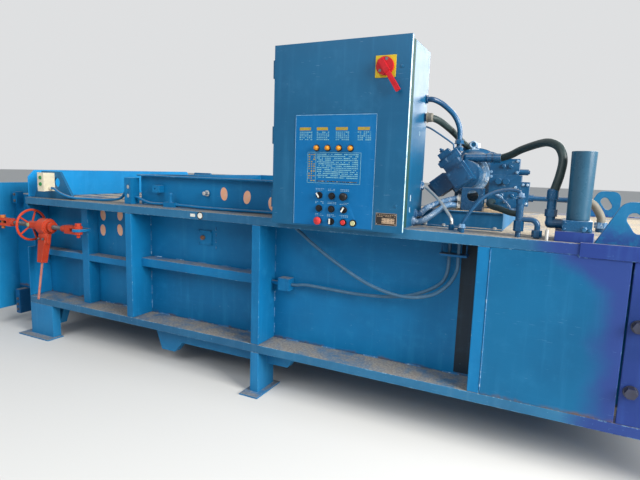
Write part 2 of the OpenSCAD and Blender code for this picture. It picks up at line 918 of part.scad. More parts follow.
module cabinet_box() {
    color(paint) {
        difference() {
            block([cabinet_x, cab_y0, z_top], [cab_x1, cabinet_y, cab_z1]);
            block([cabinet_x + sheet_t, cab_y0 - eps, z_top + sheet_t],
                [cab_x1 - sheet_t, cabinet_y - sheet_t, cab_z1 - sheet_t]);
        }
        // Lower and upper knuckles of each hinge, with the pin
        for (z = cab_hinge_levels) {
            for (low = [z - cab_hinge_h / 2, z + cab_hinge_h / 6]) {
                bar_z(low, low + cab_hinge_h / 3, cab_hinge_x, cab_hinge_y, cab_hinge_d);
                block([cab_hinge_x - cab_hinge_d / 2, cab_hinge_y, low],
                    [cab_hinge_x, cab_y0 + 20, low + cab_hinge_h / 3]);
                block([cab_hinge_x - cab_hinge_d / 2, cab_y0 + 12, low],
                    [cabinet_x, cab_y0 + 20, low + cab_hinge_h / 3]);
            }
            bar_z(z - cab_hinge_h / 2, z + cab_hinge_h / 2, cab_hinge_x, cab_hinge_y, cab_pin_d);
        }
    }
}

// Mounting plate with contactors, a transformer and terminal rails
module cabinet_backplate() {
    y1 = cabinet_y - sheet_t - 18;
    y0 = y1 - 3;
    x0 = cabinet_x + 50;
    x1 = cab_x1 - 50;
    z0 = z_top + 50;
    z1 = cab_z1 - 50;
    color("#e4e4de") block([x0, y0, z0], [x1, y1, z1]);
    color(steel) for (x = [x0 + 20, x1 - 20], z = [z0 + 20, z1 - 20])
        bar_y(y1, cabinet_y - sheet_t, x, z, 12);
    color("#3c3f43") {
        for (i = [0:3]) block([x0 + 60 + i * 85, y0 - 95, z1 - 260], [x0 + 125 + i * 85, y0, z1 - 160]);
        for (i = [0:3]) block([x0 + 60 + i * 85, y0 - 70, z1 - 350], [x0 + 125 + i * 85, y0, z1 - 275]);
        block([x1 - 170, y0 - 110, z0 + 60], [x1 - 50, y0, z0 + 170]);
        block([x0 + 60, y0 - 55, z0 + 90], [x0 + 360, y0, z0 + 135]);
        block([x0 + 60, y0 - 90, z0 + 220], [x0 + 260, y0, z0 + 330]);
    }
}

// Panel layout, as X and Z of each operator
panel_col = [cabinet_x + 273, cabinet_x + 343, cabinet_x + 411, cabinet_x + 464];
panel_row = [z_top + 142, z_top + 76];
panel_row_low = door_z0 + 33;
light_z = z_top + 380;
light_x = [for (i = [0:3]) cabinet_x + 249 + i * 62];
disc_x = cabinet_x + 594;
disc_z = z_top + 757;
operators = [
    [panel_col[0], panel_row[0]], [panel_col[1], panel_row[0]], [panel_col[2], panel_row[0]],
    [panel_col[0], panel_row[1]], [panel_col[1], panel_row[1]], [panel_col[2], panel_row[1]],
    [panel_col[0], panel_row_low], [panel_col[1], panel_row_low], [panel_col[2], panel_row_low],
    [panel_col[3], panel_row_low]
];
plate_skin = 2;
bezel_t = 8;

module panel_holes(y0, y1) {
    for (p = operators) bar_y(y0, y1, p[0], p[1], operator_d);
    for (x = light_x) bar_y(y0, y1, x, light_z, operator_d);
    bar_y(y0, y1, disc_x, disc_z, 22);
}

module cabinet_door() {
    skin = 3;
    color(paint) difference() {
        union() {
            difference() {
                block([door_x0, door_front, door_z0], [door_x1, door_back, door_z1]);
                block([door_x0 + skin, door_front + skin, door_z0 + skin],
                    [door_x1 - skin, door_back + eps, door_z1 - skin]);
            }
            for (z = cab_hinge_levels) {
                bar_z(z - cab_hinge_h / 6 + hair, z + cab_hinge_h / 6 - hair, cab_hinge_x,
                    cab_hinge_y, cab_hinge_d);
                block([cab_hinge_x, cab_hinge_y - cab_hinge_d / 2, z - cab_hinge_h / 6 + hair],
                    [door_x0 + skin, cab_hinge_y, z + cab_hinge_h / 6 - hair]);
            }
        }
        for (z = cab_hinge_levels)
            bar_z(z - cab_hinge_h, z + cab_hinge_h, cab_hinge_x, cab_hinge_y, cab_pin_d + 2 * fit);
        panel_holes(door_front - eps, door_front + skin + eps);
    }
}

overlay_x0 = cabinet_x + 122;
overlay_x1 = cabinet_x + 563;
overlay_z1 = z_top + 545;
disc_plate = 100;

// Control panel overlay with its bezels, the yellow switch plate and the bare plate
module door_plates() {
    y0 = door_front - plate_skin;
    color(paint) difference() {
        union() {
            block([overlay_x0, y0, door_z0 + 8], [overlay_x1, door_front, overlay_z1]);
            for (p = operators) bar_y(y0 - bezel_t, y0, p[0], p[1], operator_d + 10);
        }
        panel_holes(y0 - bezel_t - eps, door_front + eps);
    }
    color("#e2b21c") difference() {
        block([disc_x - disc_plate / 2, door_front - 3, disc_z - disc_plate / 2],
            [disc_x + disc_plate / 2, door_front, disc_z + disc_plate / 2]);
        bar_y(door_front - 4, door_front + eps, disc_x, disc_z, 22);
    }
    color("#2a2722")
        block([cab_x1 - 123, door_front - plate_skin, z_top + 17], [cab_x1 - 21, door_front,
            z_top + 72]);
}

knob_y = door_front - 3 - hair;

// Round switch knob with its pistol grip lever
module disconnect_handle() {
    color("#c8281f") {
        bar_y(knob_y, door_front + 3, disc_x, disc_z, 21);
        bar_y(knob_y - 16, knob_y, disc_x, disc_z, 84);
        translate([disc_x, knob_y - 14, disc_z]) rotate([0, 57, 0]) {
            block([-34, -22, -13], [34, 0, 13]);
            block([34, -16, -11], [136, 0, 11]);
        }
    }
}

module pilot_lights() {
    y0 = door_front - plate_skin;
    color("#e0a030") for (x = light_x) {
        bar_y(y0 - 5, y0, x, light_z, 34);
        bar_y(y0 - 14, y0 - 5, x, light_z, 24);
        translate([x, y0 - 14, light_z]) intersection() {
            sphere(d = 24);
            translate([-20, -20, -20]) cube([40, 20, 40]);
        }
    }
}

stem_d = operator_d - 4 * fit;
bezel_front = door_front - plate_skin - bezel_t;
stem_end = door_front + 4;

// Press button flush in its bezel
module press_button(i) {
    bar_y(bezel_front - 6, stem_end, operators[i][0], operators[i][1], stem_d);
}

// Mushroom head on its stem
module mushroom(i, head_d) {
    x = operators[i][0];
    z = operators[i][1];
    bar_y(bezel_front - 8, stem_end, x, z, stem_d);
    translate([x, bezel_front - 8, z]) rotate([90, 0, 0]) rotate_extrude()
        polygon([[0, 0], [head_d / 2 - 2, 0], [head_d / 2, 3], [head_d / 2, 7],
            [head_d / 2 - 5, 11], [head_d / 4, 13.5], [0, 14]]);
}

// Turning selector with a raised grip
module selector(i, turn) {
    x = operators[i][0];
    z = operators[i][1];
    bar_y(bezel_front - 5, stem_end, x, z, stem_d);
    translate([x, bezel_front - 5, z]) rotate([0, turn, 0])
        block([-4, -12, -stem_d / 2 + 1], [4, 0, stem_d / 2 + 3]);
}

module selector_upper() { color("#1c1c1e") selector(0, -35); }
module button_upper() { color("#1c1c1e") press_button(1); }
module mushroom_upper() { color("#1c1c1e") mushroom(2, 40); }
module button_left() { color("#1c1c1e") press_button(3); }
module button_middle() { color("#1c1c1e") press_button(4); }
module selector_middle() { color("#1c1c1e") selector(5, 30); }
module stop_mushroom() { color("#c8281f") mushroom(6, 40); }
module selector_lower() { color("#1c1c1e") selector(7, 0); }
module red_button() { color("#c8281f") press_button(8); }
module cream_button() { color("#d9cfa8") press_button(9); }

// Two-button station on the front lug

station_x = 195;
station_w = 65;
station_y = lift_lug_y;
station_d = 88;
station_z0 = z_top + 55;
station_h = 130;
station_button_z = [z_top + 105, z_top + 150];
station_hole = 26;

module station_box() {
    y0 = station_y - station_d;
    color("#cfc6ab") {
        difference() {
            union() {
                block([station_x, y0 + 6, station_z0], [station_x + station_w, station_y,
                    station_z0 + station_h]);
                block([station_x - 2, y0, station_z0 - 2], [station_x + station_w + 2, y0 + 6,
                    station_z0 + station_h + 2]);
            }
            for (z = station_button_z)
                bar_y(y0 - eps, y0 + 30, station_x + station_w / 2, z, station_hole);
        }
        bar_x(station_x + station_w, station_x + station_w + 22, 16, station_z0 + 22, 26);
    }
}

module station_button(z) {
    color("#2f7d3a") bar_y(station_y - station_d - 6, station_y - station_d + 14,
        station_x + station_w / 2, z, station_hole - 4 * fit);
}

module station_button_upper() { station_button(station_button_z[1]); }
module station_button_lower() { station_button(station_button_z[0]); }

// Hydraulic power unit

z_skid = z_top + skid_h;
skid_y1 = skid_y + skid_d;
shaft_x = skid_x + 185;
shaft_z = z_skid + shaft_h;
pump_y0 = skid_y + 60;
bell_y0 = skid_y + 265;
motor_y0 = skid_y + 470;
motor_y1 = motor_y0 + 430;

// Folded tray with channel sides, open underneath
module pump_skid() {
    wall = 8;
    color(dark_paint) {
        difference() {
            block([skid_x, skid_y, z_top], [skid_x1, skid_y1, z_skid]);
            block([skid_x + wall, skid_y + wall, z_top - eps],
                [skid_x1 - wall, skid_y1 - wall, z_skid - wall]);
        }
        block([skid_x, skid_y - 14, z_skid - wall], [skid_x1, skid_y, z_skid]);
        block([skid_x, skid_y - 14, z_top], [skid_x1, skid_y, z_top + wall]);
    }
}

fin_count = 20;

module pump_motor() {
    color(paint) {
        bar_y(motor_y0, motor_y1, shaft_x, shaft_z, motor_d - 40);
        bar_y(motor_y0, motor_y0 + 30, shaft_x, shaft_z, motor_d);
        bar_y(motor_y1 - 30, motor_y1, shaft_x, shaft_z, motor_d);
        bar_y(motor_y1, motor_y1 + 55, shaft_x, shaft_z, motor_d - 14);
        // Cooling fins between the two end bells
        difference() {
            union() for (i = [0:fin_count - 1])
                translate([shaft_x, motor_y0 + 30, shaft_z]) rotate([0, i * 360 / fin_count, 0])
                    translate([-2, 0, motor_d / 2 - 24]) cube([4, motor_y1 - motor_y0 - 60, 20]);
            block([shaft_x - 80, motor_y0, z_skid - eps], [shaft_x + 80, motor_y1, shaft_z - 60]);
        }
        // Feet
        for (x = [shaft_x - 125, shaft_x + 65], y = [motor_y0 + 60, motor_y1 - 110])
            block([x, y, z_skid], [x + 60, y + 60, shaft_z - motor_d / 2 + 52]);
        // Terminal box on top
        block([shaft_x - 95, motor_y0 + 70, shaft_z + 70],
            [shaft_x - 15, motor_y0 + 210, shaft_z + motor_d / 2 + 35]);
    }
}

// Stepped adapter rings with their cap screws, then the bell to the motor
module bell_housing() {
    color("#7f9cb4") {
        bar_y(bell_y0, bell_y0 + 16, shaft_x, shaft_z, 176);
        bar_y(bell_y0 + 16, bell_y0 + 34, shaft_x, shaft_z, 206);
        bar_y(bell_y0 + 34, bell_y0 + 60, shaft_x, shaft_z, 186);
        for (i = [0:9]) {
            a = 18 + i * 36;
            bar_y(bell_y0 + 4, bell_y0 + 16, shaft_x + 95 * cos(a), shaft_z + 95 * sin(a), 13);
        }
    }
    color(paint) translate([shaft_x, bell_y0 + 60, shaft_z]) rotate([-90, 0, 0])
        rotate_extrude() polygon([
            [0, 0], [88, 0], [100, 50], [motor_d / 2 - 20, 100], [motor_d / 2 - 4, 110],
            [motor_d / 2 - 4, motor_y0 - bell_y0 - 60], [0, motor_y0 - bell_y0 - 60]
        ]);
    // Lifting eye
    color("#7f9cb4") translate([shaft_x - 22, motor_y0 - 20, shaft_z + motor_d / 2]) {
        translate([0, 0, -15]) cylinder(d = 26, h = 16);
        translate([0, 0, 18]) rotate([90, 0, 0]) rotate_extrude() translate([17, 0]) circle(d = 10);
    }
}

pump_turn = -38;
suction_d = 38;
top_conduit_d = 28;

// A part of the pump set out in the pump's own leaning frame
module pump_place() {
    translate([shaft_x, 0, shaft_z]) rotate([0, pump_turn, 0]) children();
}

module pump_body() {
    y0 = pump_y0;
    color(paint) {
        pump_place() {
            // Barrel and square rear cover
            translate([0, y0 + 60, 0]) rotate([-90, 0, 0]) cylinder(d = 150, h = bell_y0 - y0 - 60);
            block([-82, y0 + 24, -52], [38, y0 + 60, 62]);
            block([-70, y0, -42], [26, y0 + 24, 50]);
            // Control head at the lower left, with its end cap
            block([-170, y0 + 30, -22], [-82, y0 + 130, 72]);
            block([-186, y0 + 36, -14], [-170, y0 + 124, 64]);
            // Compensator at the upper left
            block([-70, y0 + 50, 62], [20, y0 + 120, 100]);
            block([-80, y0 + 44, 100], [30, y0 + 126, 128]);
            block([-58, y0 + 56, 128], [6, y0 + 114, 168]);
            block([6, y0 + 70, 100], [40, y0 + 100, 146]);
            // Cap screws on the rear cover
            for (x = [-60, 16], z = [-32, 40])
                translate([x, y0 - 8, z]) rotate([-90, 0, 0]) cylinder(d = 16, h = 8);
        }
        // Suction elbow on top, turned towards the filter side
        bar_z(shaft_z + 50, shaft_z + 92, shaft_x - 15, y0 + 170, suction_d + 6);
        translate([shaft_x - 15, y0 + 170, shaft_z + 92]) sphere(d = suction_d + 6);
        bar_x(shaft_x - 15, shaft_x + 126, y0 + 170, shaft_z + 92, suction_d + 6);
        bar_x(shaft_x + 92, shaft_x + 116, y0 + 170, shaft_z + 92, suction_d + 14);
        // Conduit fitting on top
        bar_z(shaft_z + 35, shaft_z + 125, shaft_x - 57, y0 + 150, top_conduit_d);
    }
    color(steel) pump_place() {
        translate([-30, y0 + 85, 168]) cylinder(d = 12, h = 26);
        translate([-30, y0 + 85, 174]) cylinder(d = 24, h = 10, $fn = 6);
        translate([-68, y0 + 85, 128]) cylinder(d = 18, h = 12, $fn = 6);
    }
}

pedestal_x = skid_x + 196;
pedestal_w = 105;
manifold_x = shaft_x + 102;
manifold_w = 164;
manifold_y = skid_y + 300;
manifold_d = 70;
port_z = z_skid + 40;
port_x = [manifold_x + 30, manifold_x + 90];

// Wiring pedestal in front of the pump and the valve stack to its right
module valve_manifold() {
    wall = 5;
    x1 = manifold_x + manifold_w;
    y1 = manifold_y + manifold_d;
    color(paint) {
        difference() {
            block([pedestal_x, skid_y + 8, z_skid], [pedestal_x + pedestal_w, skid_y + 68,
                z_skid + 115]);
            block([pedestal_x + wall, skid_y + 8 + wall, z_skid - eps],
                [pedestal_x + pedestal_w - wall, skid_y + 68 + eps, z_skid + 115 - wall]);
            bar_y(skid_y + 7, skid_y + 44, pedestal_x + 55, z_skid + 76, 56);
        }
        block([manifold_x, manifold_y, z_skid], [x1, y1, z_skid + 185]);
        block([manifold_x - 2, manifold_y + 5, z_skid + 185], [x1 - 16, y1 - 5, z_skid + 272]);
        block([x1, manifold_y + 8, z_skid + 20], [x1 + 41, y1 - 8, z_skid + 150]);
        // Solenoids
        bar_x(x1 - 16, x1 + 30, (manifold_y + y1) / 2, z_skid + 202, 32);
        bar_x(x1 + 30, x1 + 37, (manifold_y + y1) / 2, z_skid + 202, 20);
        for (i = [0, 1])
            bar_y(manifold_y - 22, manifold_y, manifold_x + 50 + i * 38, z_skid + 150, 32);
        for (x = port_x) bar_y(manifold_y - 10, manifold_y, x, port_z, 18);
    }
}

// Filter, hard pipes and deck fittings

filter_x = skid_x1 + 319;
filter_y = 90;
filter_base_h = 44;
filter_head_h = 48;

module filter_head() {
    z0 = z_top + filter_base_h;
    color(overspray)
        block([filter_x - 84, filter_y - 70, z_top], [filter_x + 65, filter_y + 70, z0]);
    color(paint) {
        block([filter_x - 59, filter_y - 62, z0], [filter_x + 56, filter_y + 62,
            z0 + filter_head_h]);
        hex_y(filter_y - 72, filter_y - 62, filter_x + 26, z0 + 14, 22);
    }
}

module filter_canister() {
    color(paint) translate([filter_x, filter_y, z_top + filter_base_h + filter_head_h])
        cylinder(d1 = filter_d - 8, d2 = filter_d, h = filter_h);
}

stack_x = skid_x1 + 85;
stack_y = 60;
stack_h = 180;
branch_z = z_top + 98;
elbow_x = stack_x + 78;
elbow_z = z_top + 82;
suction_x = filter_x - 108;
suction_y = 120;
suction_z = z_top + 68;
pipe_y = manifold_y + manifold_d / 2;
pipe_z = z_skid + 65;
pipe_x = manifold_x + manifold_w + 41;
return_x = filter_x + 120;
cable_x = [skid_x + 180, skid_x + 230];
cable_y = [130, 100];
clamp_z = z_top - 125;
cable_d = 18;

// Hard return pipe from the valve stack, and the deck fitting that its hose runs to
module return_pipe() {
    bar_x(pipe_x, filter_x - 4, pipe_y, pipe_z, 28);
    bar_x(pipe_x, pipe_x + 24, pipe_y, pipe_z, 40);
    bar_z(z_top, z_top + 20, return_x, pipe_y, 46);
    hex_z(z_top + 20, z_top + 50, return_x, pipe_y, 60);
}

module hydraulic_fittings() {
    color(paint) {
        return_pipe();
        // Fitting stack on the flange
        bar_z(z_top, z_top + 27, stack_x, stack_y, 24);
        hex_z(z_top + 27, z_top + 75, stack_x, stack_y, 44);
        bar_z(z_top + 75, z_top + 150, stack_x, stack_y, 32);
        hex_z(z_top + 150, z_top + 172, stack_x, stack_y, 38);
        bar_z(z_top + 172, z_top + stack_h, stack_x, stack_y, 20);
        bar_y(stack_y, stack_y + 34, stack_x, branch_z, 28);
        // Elbow from the stack down to the deck
        bar_x(stack_x, elbow_x - 30, stack_y, elbow_z, 25);
        translate([elbow_x - 30, stack_y, elbow_z - 30]) rotate([90, 0, 0])
            rotate_extrude(angle = 90) translate([30, 0]) circle(d = 25);
        bar_z(z_top, elbow_z - 30, elbow_x, stack_y, 25);
        hex_z(z_top + 6, z_top + 36, elbow_x, stack_y, 44);
        // Suction fitting with its elbow into the filter head
        bar_z(suction_z, z_top + 175, suction_x, suction_y, 40);
        hex_z(z_top + 98, z_top + 130, suction_x, suction_y, 52);
        translate([suction_x, suction_y, suction_z]) sphere(d = 44);
        bar_x(suction_x, filter_x - 59, suction_y, suction_z, 44);
        // Hose fitting on the flange
        bar_z(z_top, z_top + 24, skid_x + 244, 52, 24);
    }
    color(steel) {
        bar_z(z_top, z_top + 46, suction_x - 6, 24, 16);
        // Clamp across the two cables under the flange
        for (x = [cable_x[0] - 35, cable_x[1] + 35])
            bar_z(clamp_z + 10, z_top - plate_t, x, (cable_y[0] + cable_y[1]) / 2, 8);
        difference() {
            block([cable_x[0] - 42, cable_y[1] - 20, clamp_z],
                [cable_x[1] + 42, cable_y[0] + 20, clamp_z + 10]);
            for (i = [0, 1])
                bar_z(clamp_z - eps, clamp_z + 11, cable_x[i], cable_y[i], cable_d + 2);
        }
        // Cable couplings on both faces of the flange
        for (i = [0, 1]) {
            bar_z(z_top - plate_t - 30, z_top - plate_t, cable_x[i], cable_y[i], 28);
            bar_z(z_top, z_top + 28, cable_x[i], cable_y[i], 28);
        }
        bar_z(z_top - plate_t - 30, z_top - plate_t, cabinet_x + 50, cable_y[1] + 10, 30);
    }
}

// Hoses, conduits and cables, with their routes set by hand

// A route given from the skid's corner on the deck, and one that starts at the cabinet's side
function in_unit(r) = [for (p = r) [skid_x + p[0], p[1], z_top + p[2]]];

function from_cabinet(y, z, r) = concat([[cab_x1 + 0.5, y, z_top + z]], in_unit(r));

suction_route = in_unit([
    [312, 470, 362], [342, 470, 362], [396, 440, 378], [449, 400, 404], [531, 310, 428],
    [579, 240, 430], [622, 180, 406], [643, 150, 353], [637, 128, 282], [622, 120, 218],
    [616, 120, 190], [616, 120, 175.5]
]);
arch_route = in_unit([
    [244, 52, 24.5], [244, 52, 38], [260, 52, 72], [290, 52, 121], [329, 55, 168], [383, 60, 197],
    [437, 60, 210], [472, 60, 207], [488, 60, 198], [490, 60, 190], [490, 60, 180.5]
]);
lower_hose_route = in_unit([
    [317, 529.5, 130], [317, 505, 130], [320, 420, 136], [323, 330, 134], [342, 250, 120],
    [385, 185, 115], [442, 140, 102], [480, 125, 98], [490, 110, 98], [490, 94.5, 98]
]);
thin_pipe_route = in_unit([
    [377, 529.5, 130], [377, 505, 130], [368, 400, 165], [358, 300, 173], [401, 200, 156],
    [438, 105, 133], [448, 64, 124], [458, 60, 122], [473.5, 60, 122]
]);
return_hose_route = in_unit([
    [720.5, 575, 155], [740, 575, 155], [792, 575, 146], [824, 575, 110], [842, 575, 75],
    [844, 575, 62], [844, 575, 50.5]
]);

module hoses() {
    color("#2b3138") tube(suction_route, suction_d, 3, 12);
    color(paint) tube(arch_route, 16);
    color("#2b3138") tube(lower_hose_route, 28, 3, 10);
    color(steel) tube(thin_pipe_route, 10, 2, 6);
    color("#bfb8a2") tube(return_hose_route, 40, 3, 12);
}

top_conduit_route = from_cabinet(295, 651, [
    [5, 295, 651], [48, 345, 632], [95, 425, 584], [124, 450, 518], [128, 450, 450],
    [128, 450, 420], [128, 450, 395.5]
]);
motor_cable_route = from_cabinet(288, 558, [
    [0, 288, 558], [40, 346, 544], [84, 500, 498], [110, 660, 452], [122, 735, 438],
    [126, 762, 436], [126, 779.5, 436]
]);
coil_cable_route = concat([[cab_x1 - 15, cabinet_y + 0.5, z_top + 520]], in_unit([
    [-40, 335, 520], [-5, 352, 506], [42, 368, 476], [92, 380, 442], [113, 385, 424],
    [114, 385, 403.5]
]));
pale_conduit_route = from_cabinet(295, 202, [
    [-8, 295, 202], [80.5, 240, 141.7], [152, 165, 78], [175, 134, 55], [180, 130, 42],
    [180, 130, 28.5]
]);
low_conduit_a = from_cabinet(205, 58, [
    [-2, 205, 58], [32, 200, 92], [80, 228, 118], [130, 258, 137], [165, 270, 146],
    [180, 272, 148], [195.5, 272, 148]
]);
low_conduit_b = from_cabinet(165, 23, [
    [5, 165, 23], [45, 165, 42], [92, 188, 82], [134, 222, 112], [165, 264, 112], [180, 272, 111],
    [195.5, 272, 111]
]);
station_route = [
    [station_x + station_w + 23, 16, z_top + 77], [310, 16, z_top + 77], [370, 20, z_top + 45],
    [450, 47, z_top + 18], [540, 100, z_top + 12], [700, 128, z_top + 12], [838, 132, z_top + 30],
    [883, 137, z_top + 80], [box_x - 15, 137, z_top + 90], [box_x - 0.5, 137, z_top + 90]
];
box_route = [
    [box_x + box_w + 0.5, 137, z_top + 45], [box_x + box_w + 25, 137, z_top + 45],
    [1040, 132, z_top + 32], [1120, 125, z_top + 15], [1225, 125, z_top + 15],
    [1254.5, 125, z_top + 15]
];
tray_route = [
    [1345.5, 125, z_top + 15], [1375, 125, z_top + 15], [1600, 122, z_top + 11],
    [1900, 128, z_top + 12], [cabinet_x - 40, 125, z_top + 15], [cabinet_x - 0.5, 125, z_top + 15]
];

module conduits() {
    color(paint) {
        tube(top_conduit_route, top_conduit_d, 3, 10);
        tube(low_conduit_a, 32, 3, 10);
        tube(low_conduit_b, 32, 3, 10);
        tube(station_route, 18, 2);
        tube(box_route, 18, 2);
        tube(tray_route, 18, 2);
        tube(coil_cable_route, 9, 2, 6);
    }
    color("#1d1f22") tube(motor_cable_route, 36, 3, 12);
    color("#c7cbd0") tube(pale_conduit_route, 16, 2);
}

cable_a_route = concat([[cable_x[0], cable_y[0], z_top - plate_t - 30.5]], in_unit([
    [180, 130, -90], [180, 130, -145], [175, 130, -218], [144, 130, -278], [46, 132, -339],
    [-86, 136, -379], [-282, 140, -396], [-463, 143, -394], [-622, 145, -390]
]), [[switch_x + 30, y_near - 30, prox_z], [switch_x + 0.5, y_near - 30, prox_z]]);
cable_b_route = concat([[cable_x[1], cable_y[1], z_top - plate_t - 30.5]], in_unit([
    [230, 100, -90], [230, 100, -145], [227, 100, -196], [193, 100, -266], [122, 98, -328],
    [21, 96, -358], [-87, 96, -357], [-228, 98, -322], [-378, 102, -252], [-534, 106, -162],
    [-645, 110, -85]
]), [[cabinet_x + 50, cable_y[1] + 10, z_top - 60],
    [cabinet_x + 50, cable_y[1] + 10, z_top - plate_t - 30.5]]);

module panel_cables() {
    color("#3b4650") {
        tube(cable_a_route, cable_d, 2);
        tube(cable_b_route, cable_d, 2);
    }
}

floor_plate();
side_walls();
deck_plates();
flanges();
main_ribs();
wall_stiffeners();
end_plates();
undercarriage();
hopper_walls();
header_plate();
lifting_lugs();
tank_panels();
rear_frame();
frame_bolts();
wall_boxes();
door_hinge_pins();
door_panel();
door_frame();
anchor_yoke();
lock_barrel();
handwheel();
ratchet_lever();
lever_rod();
door_yoke();
door_yoke_pin();
platen();
platen_shoes();
piston_rod();
ram_cylinder();
cylinder_clevis();
cabinet_box();
cabinet_backplate();
cabinet_door();
door_plates();
disconnect_handle();
pilot_lights();
selector_upper();
button_upper();
mushroom_upper();
button_left();
button_middle();
selector_middle();
stop_mushroom();
selector_lower();
red_button();
cream_button();
station_box();
station_button_upper();
station_button_lower();
pump_skid();
pump_motor();
bell_housing();
pump_body();
valve_manifold();
filter_canister();
filter_head();
hydraulic_fittings();
hoses();
conduits();
panel_cables();
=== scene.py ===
"""Looks of a horizontal recycling baler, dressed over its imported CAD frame."""

import json
import logging
import math
from dataclasses import dataclass, field, replace
from enum import Enum
from typing import Any, ClassVar, Iterable, Optional, Sequence

import bmesh
import bpy
from mathutils import Matrix, Vector

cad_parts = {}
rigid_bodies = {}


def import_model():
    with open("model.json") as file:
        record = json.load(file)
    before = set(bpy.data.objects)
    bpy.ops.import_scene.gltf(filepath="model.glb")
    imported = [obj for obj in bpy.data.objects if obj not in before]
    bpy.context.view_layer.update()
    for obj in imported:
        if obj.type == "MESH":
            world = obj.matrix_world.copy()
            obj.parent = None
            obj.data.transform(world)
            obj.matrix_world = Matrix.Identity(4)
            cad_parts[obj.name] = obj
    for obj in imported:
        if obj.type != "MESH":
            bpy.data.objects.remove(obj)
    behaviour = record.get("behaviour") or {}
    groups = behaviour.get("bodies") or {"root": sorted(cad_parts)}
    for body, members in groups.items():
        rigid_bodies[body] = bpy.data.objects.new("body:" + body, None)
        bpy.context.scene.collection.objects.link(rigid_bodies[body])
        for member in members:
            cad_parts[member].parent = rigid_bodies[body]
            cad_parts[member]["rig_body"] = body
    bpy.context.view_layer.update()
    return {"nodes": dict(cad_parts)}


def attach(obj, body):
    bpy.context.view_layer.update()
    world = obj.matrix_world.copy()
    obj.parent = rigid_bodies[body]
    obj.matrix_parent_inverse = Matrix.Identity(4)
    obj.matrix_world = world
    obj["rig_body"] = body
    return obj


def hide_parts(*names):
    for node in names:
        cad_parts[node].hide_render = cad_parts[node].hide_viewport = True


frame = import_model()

LOG = logging.getLogger("baler")

Colour = tuple[float, float, float]
Point = tuple[float, float, float]
Pair = tuple[float, float]
Level = tuple[float, float, float, float, float]
Socket = bpy.types.NodeSocket

# Planes of the CAD model, in metres: tops of the lower flange and of the deck, the near wall's
# face, the skid's left end, the cabinet door's face and the face of the panel on it.
FLOOR_Z = 0.30
DECK_Z = 1.05
WALL_Y = 0.175
SKID_X = 2.92
DOOR_Y = -0.050
OVERLAY_Y = -0.052

# The pump motor's axis, which runs along Y.
MOTOR_X = 3.105
MOTOR_Z = 1.320

# How a copy of a CAD node is cleaned before its edges are rounded.
MERGE_DISTANCE = 0.00002
FLAT_ANGLE = math.radians(0.4)
EDGE_ANGLE = math.radians(38.0)
ROUGH_CUT = ("wall_stiffeners", "end_plates", "filter_head", "wall_boxes")


class Axis(Enum):
    """Direction that a fastener's head points along, as a turn from straight up."""

    RIGHT = (0.0, math.pi / 2, 0.0)
    FRONT = (math.pi / 2, 0.0, 0.0)
    BACK = (-math.pi / 2, 0.0, 0.0)
    UP = (0.0, 0.0, 0.0)


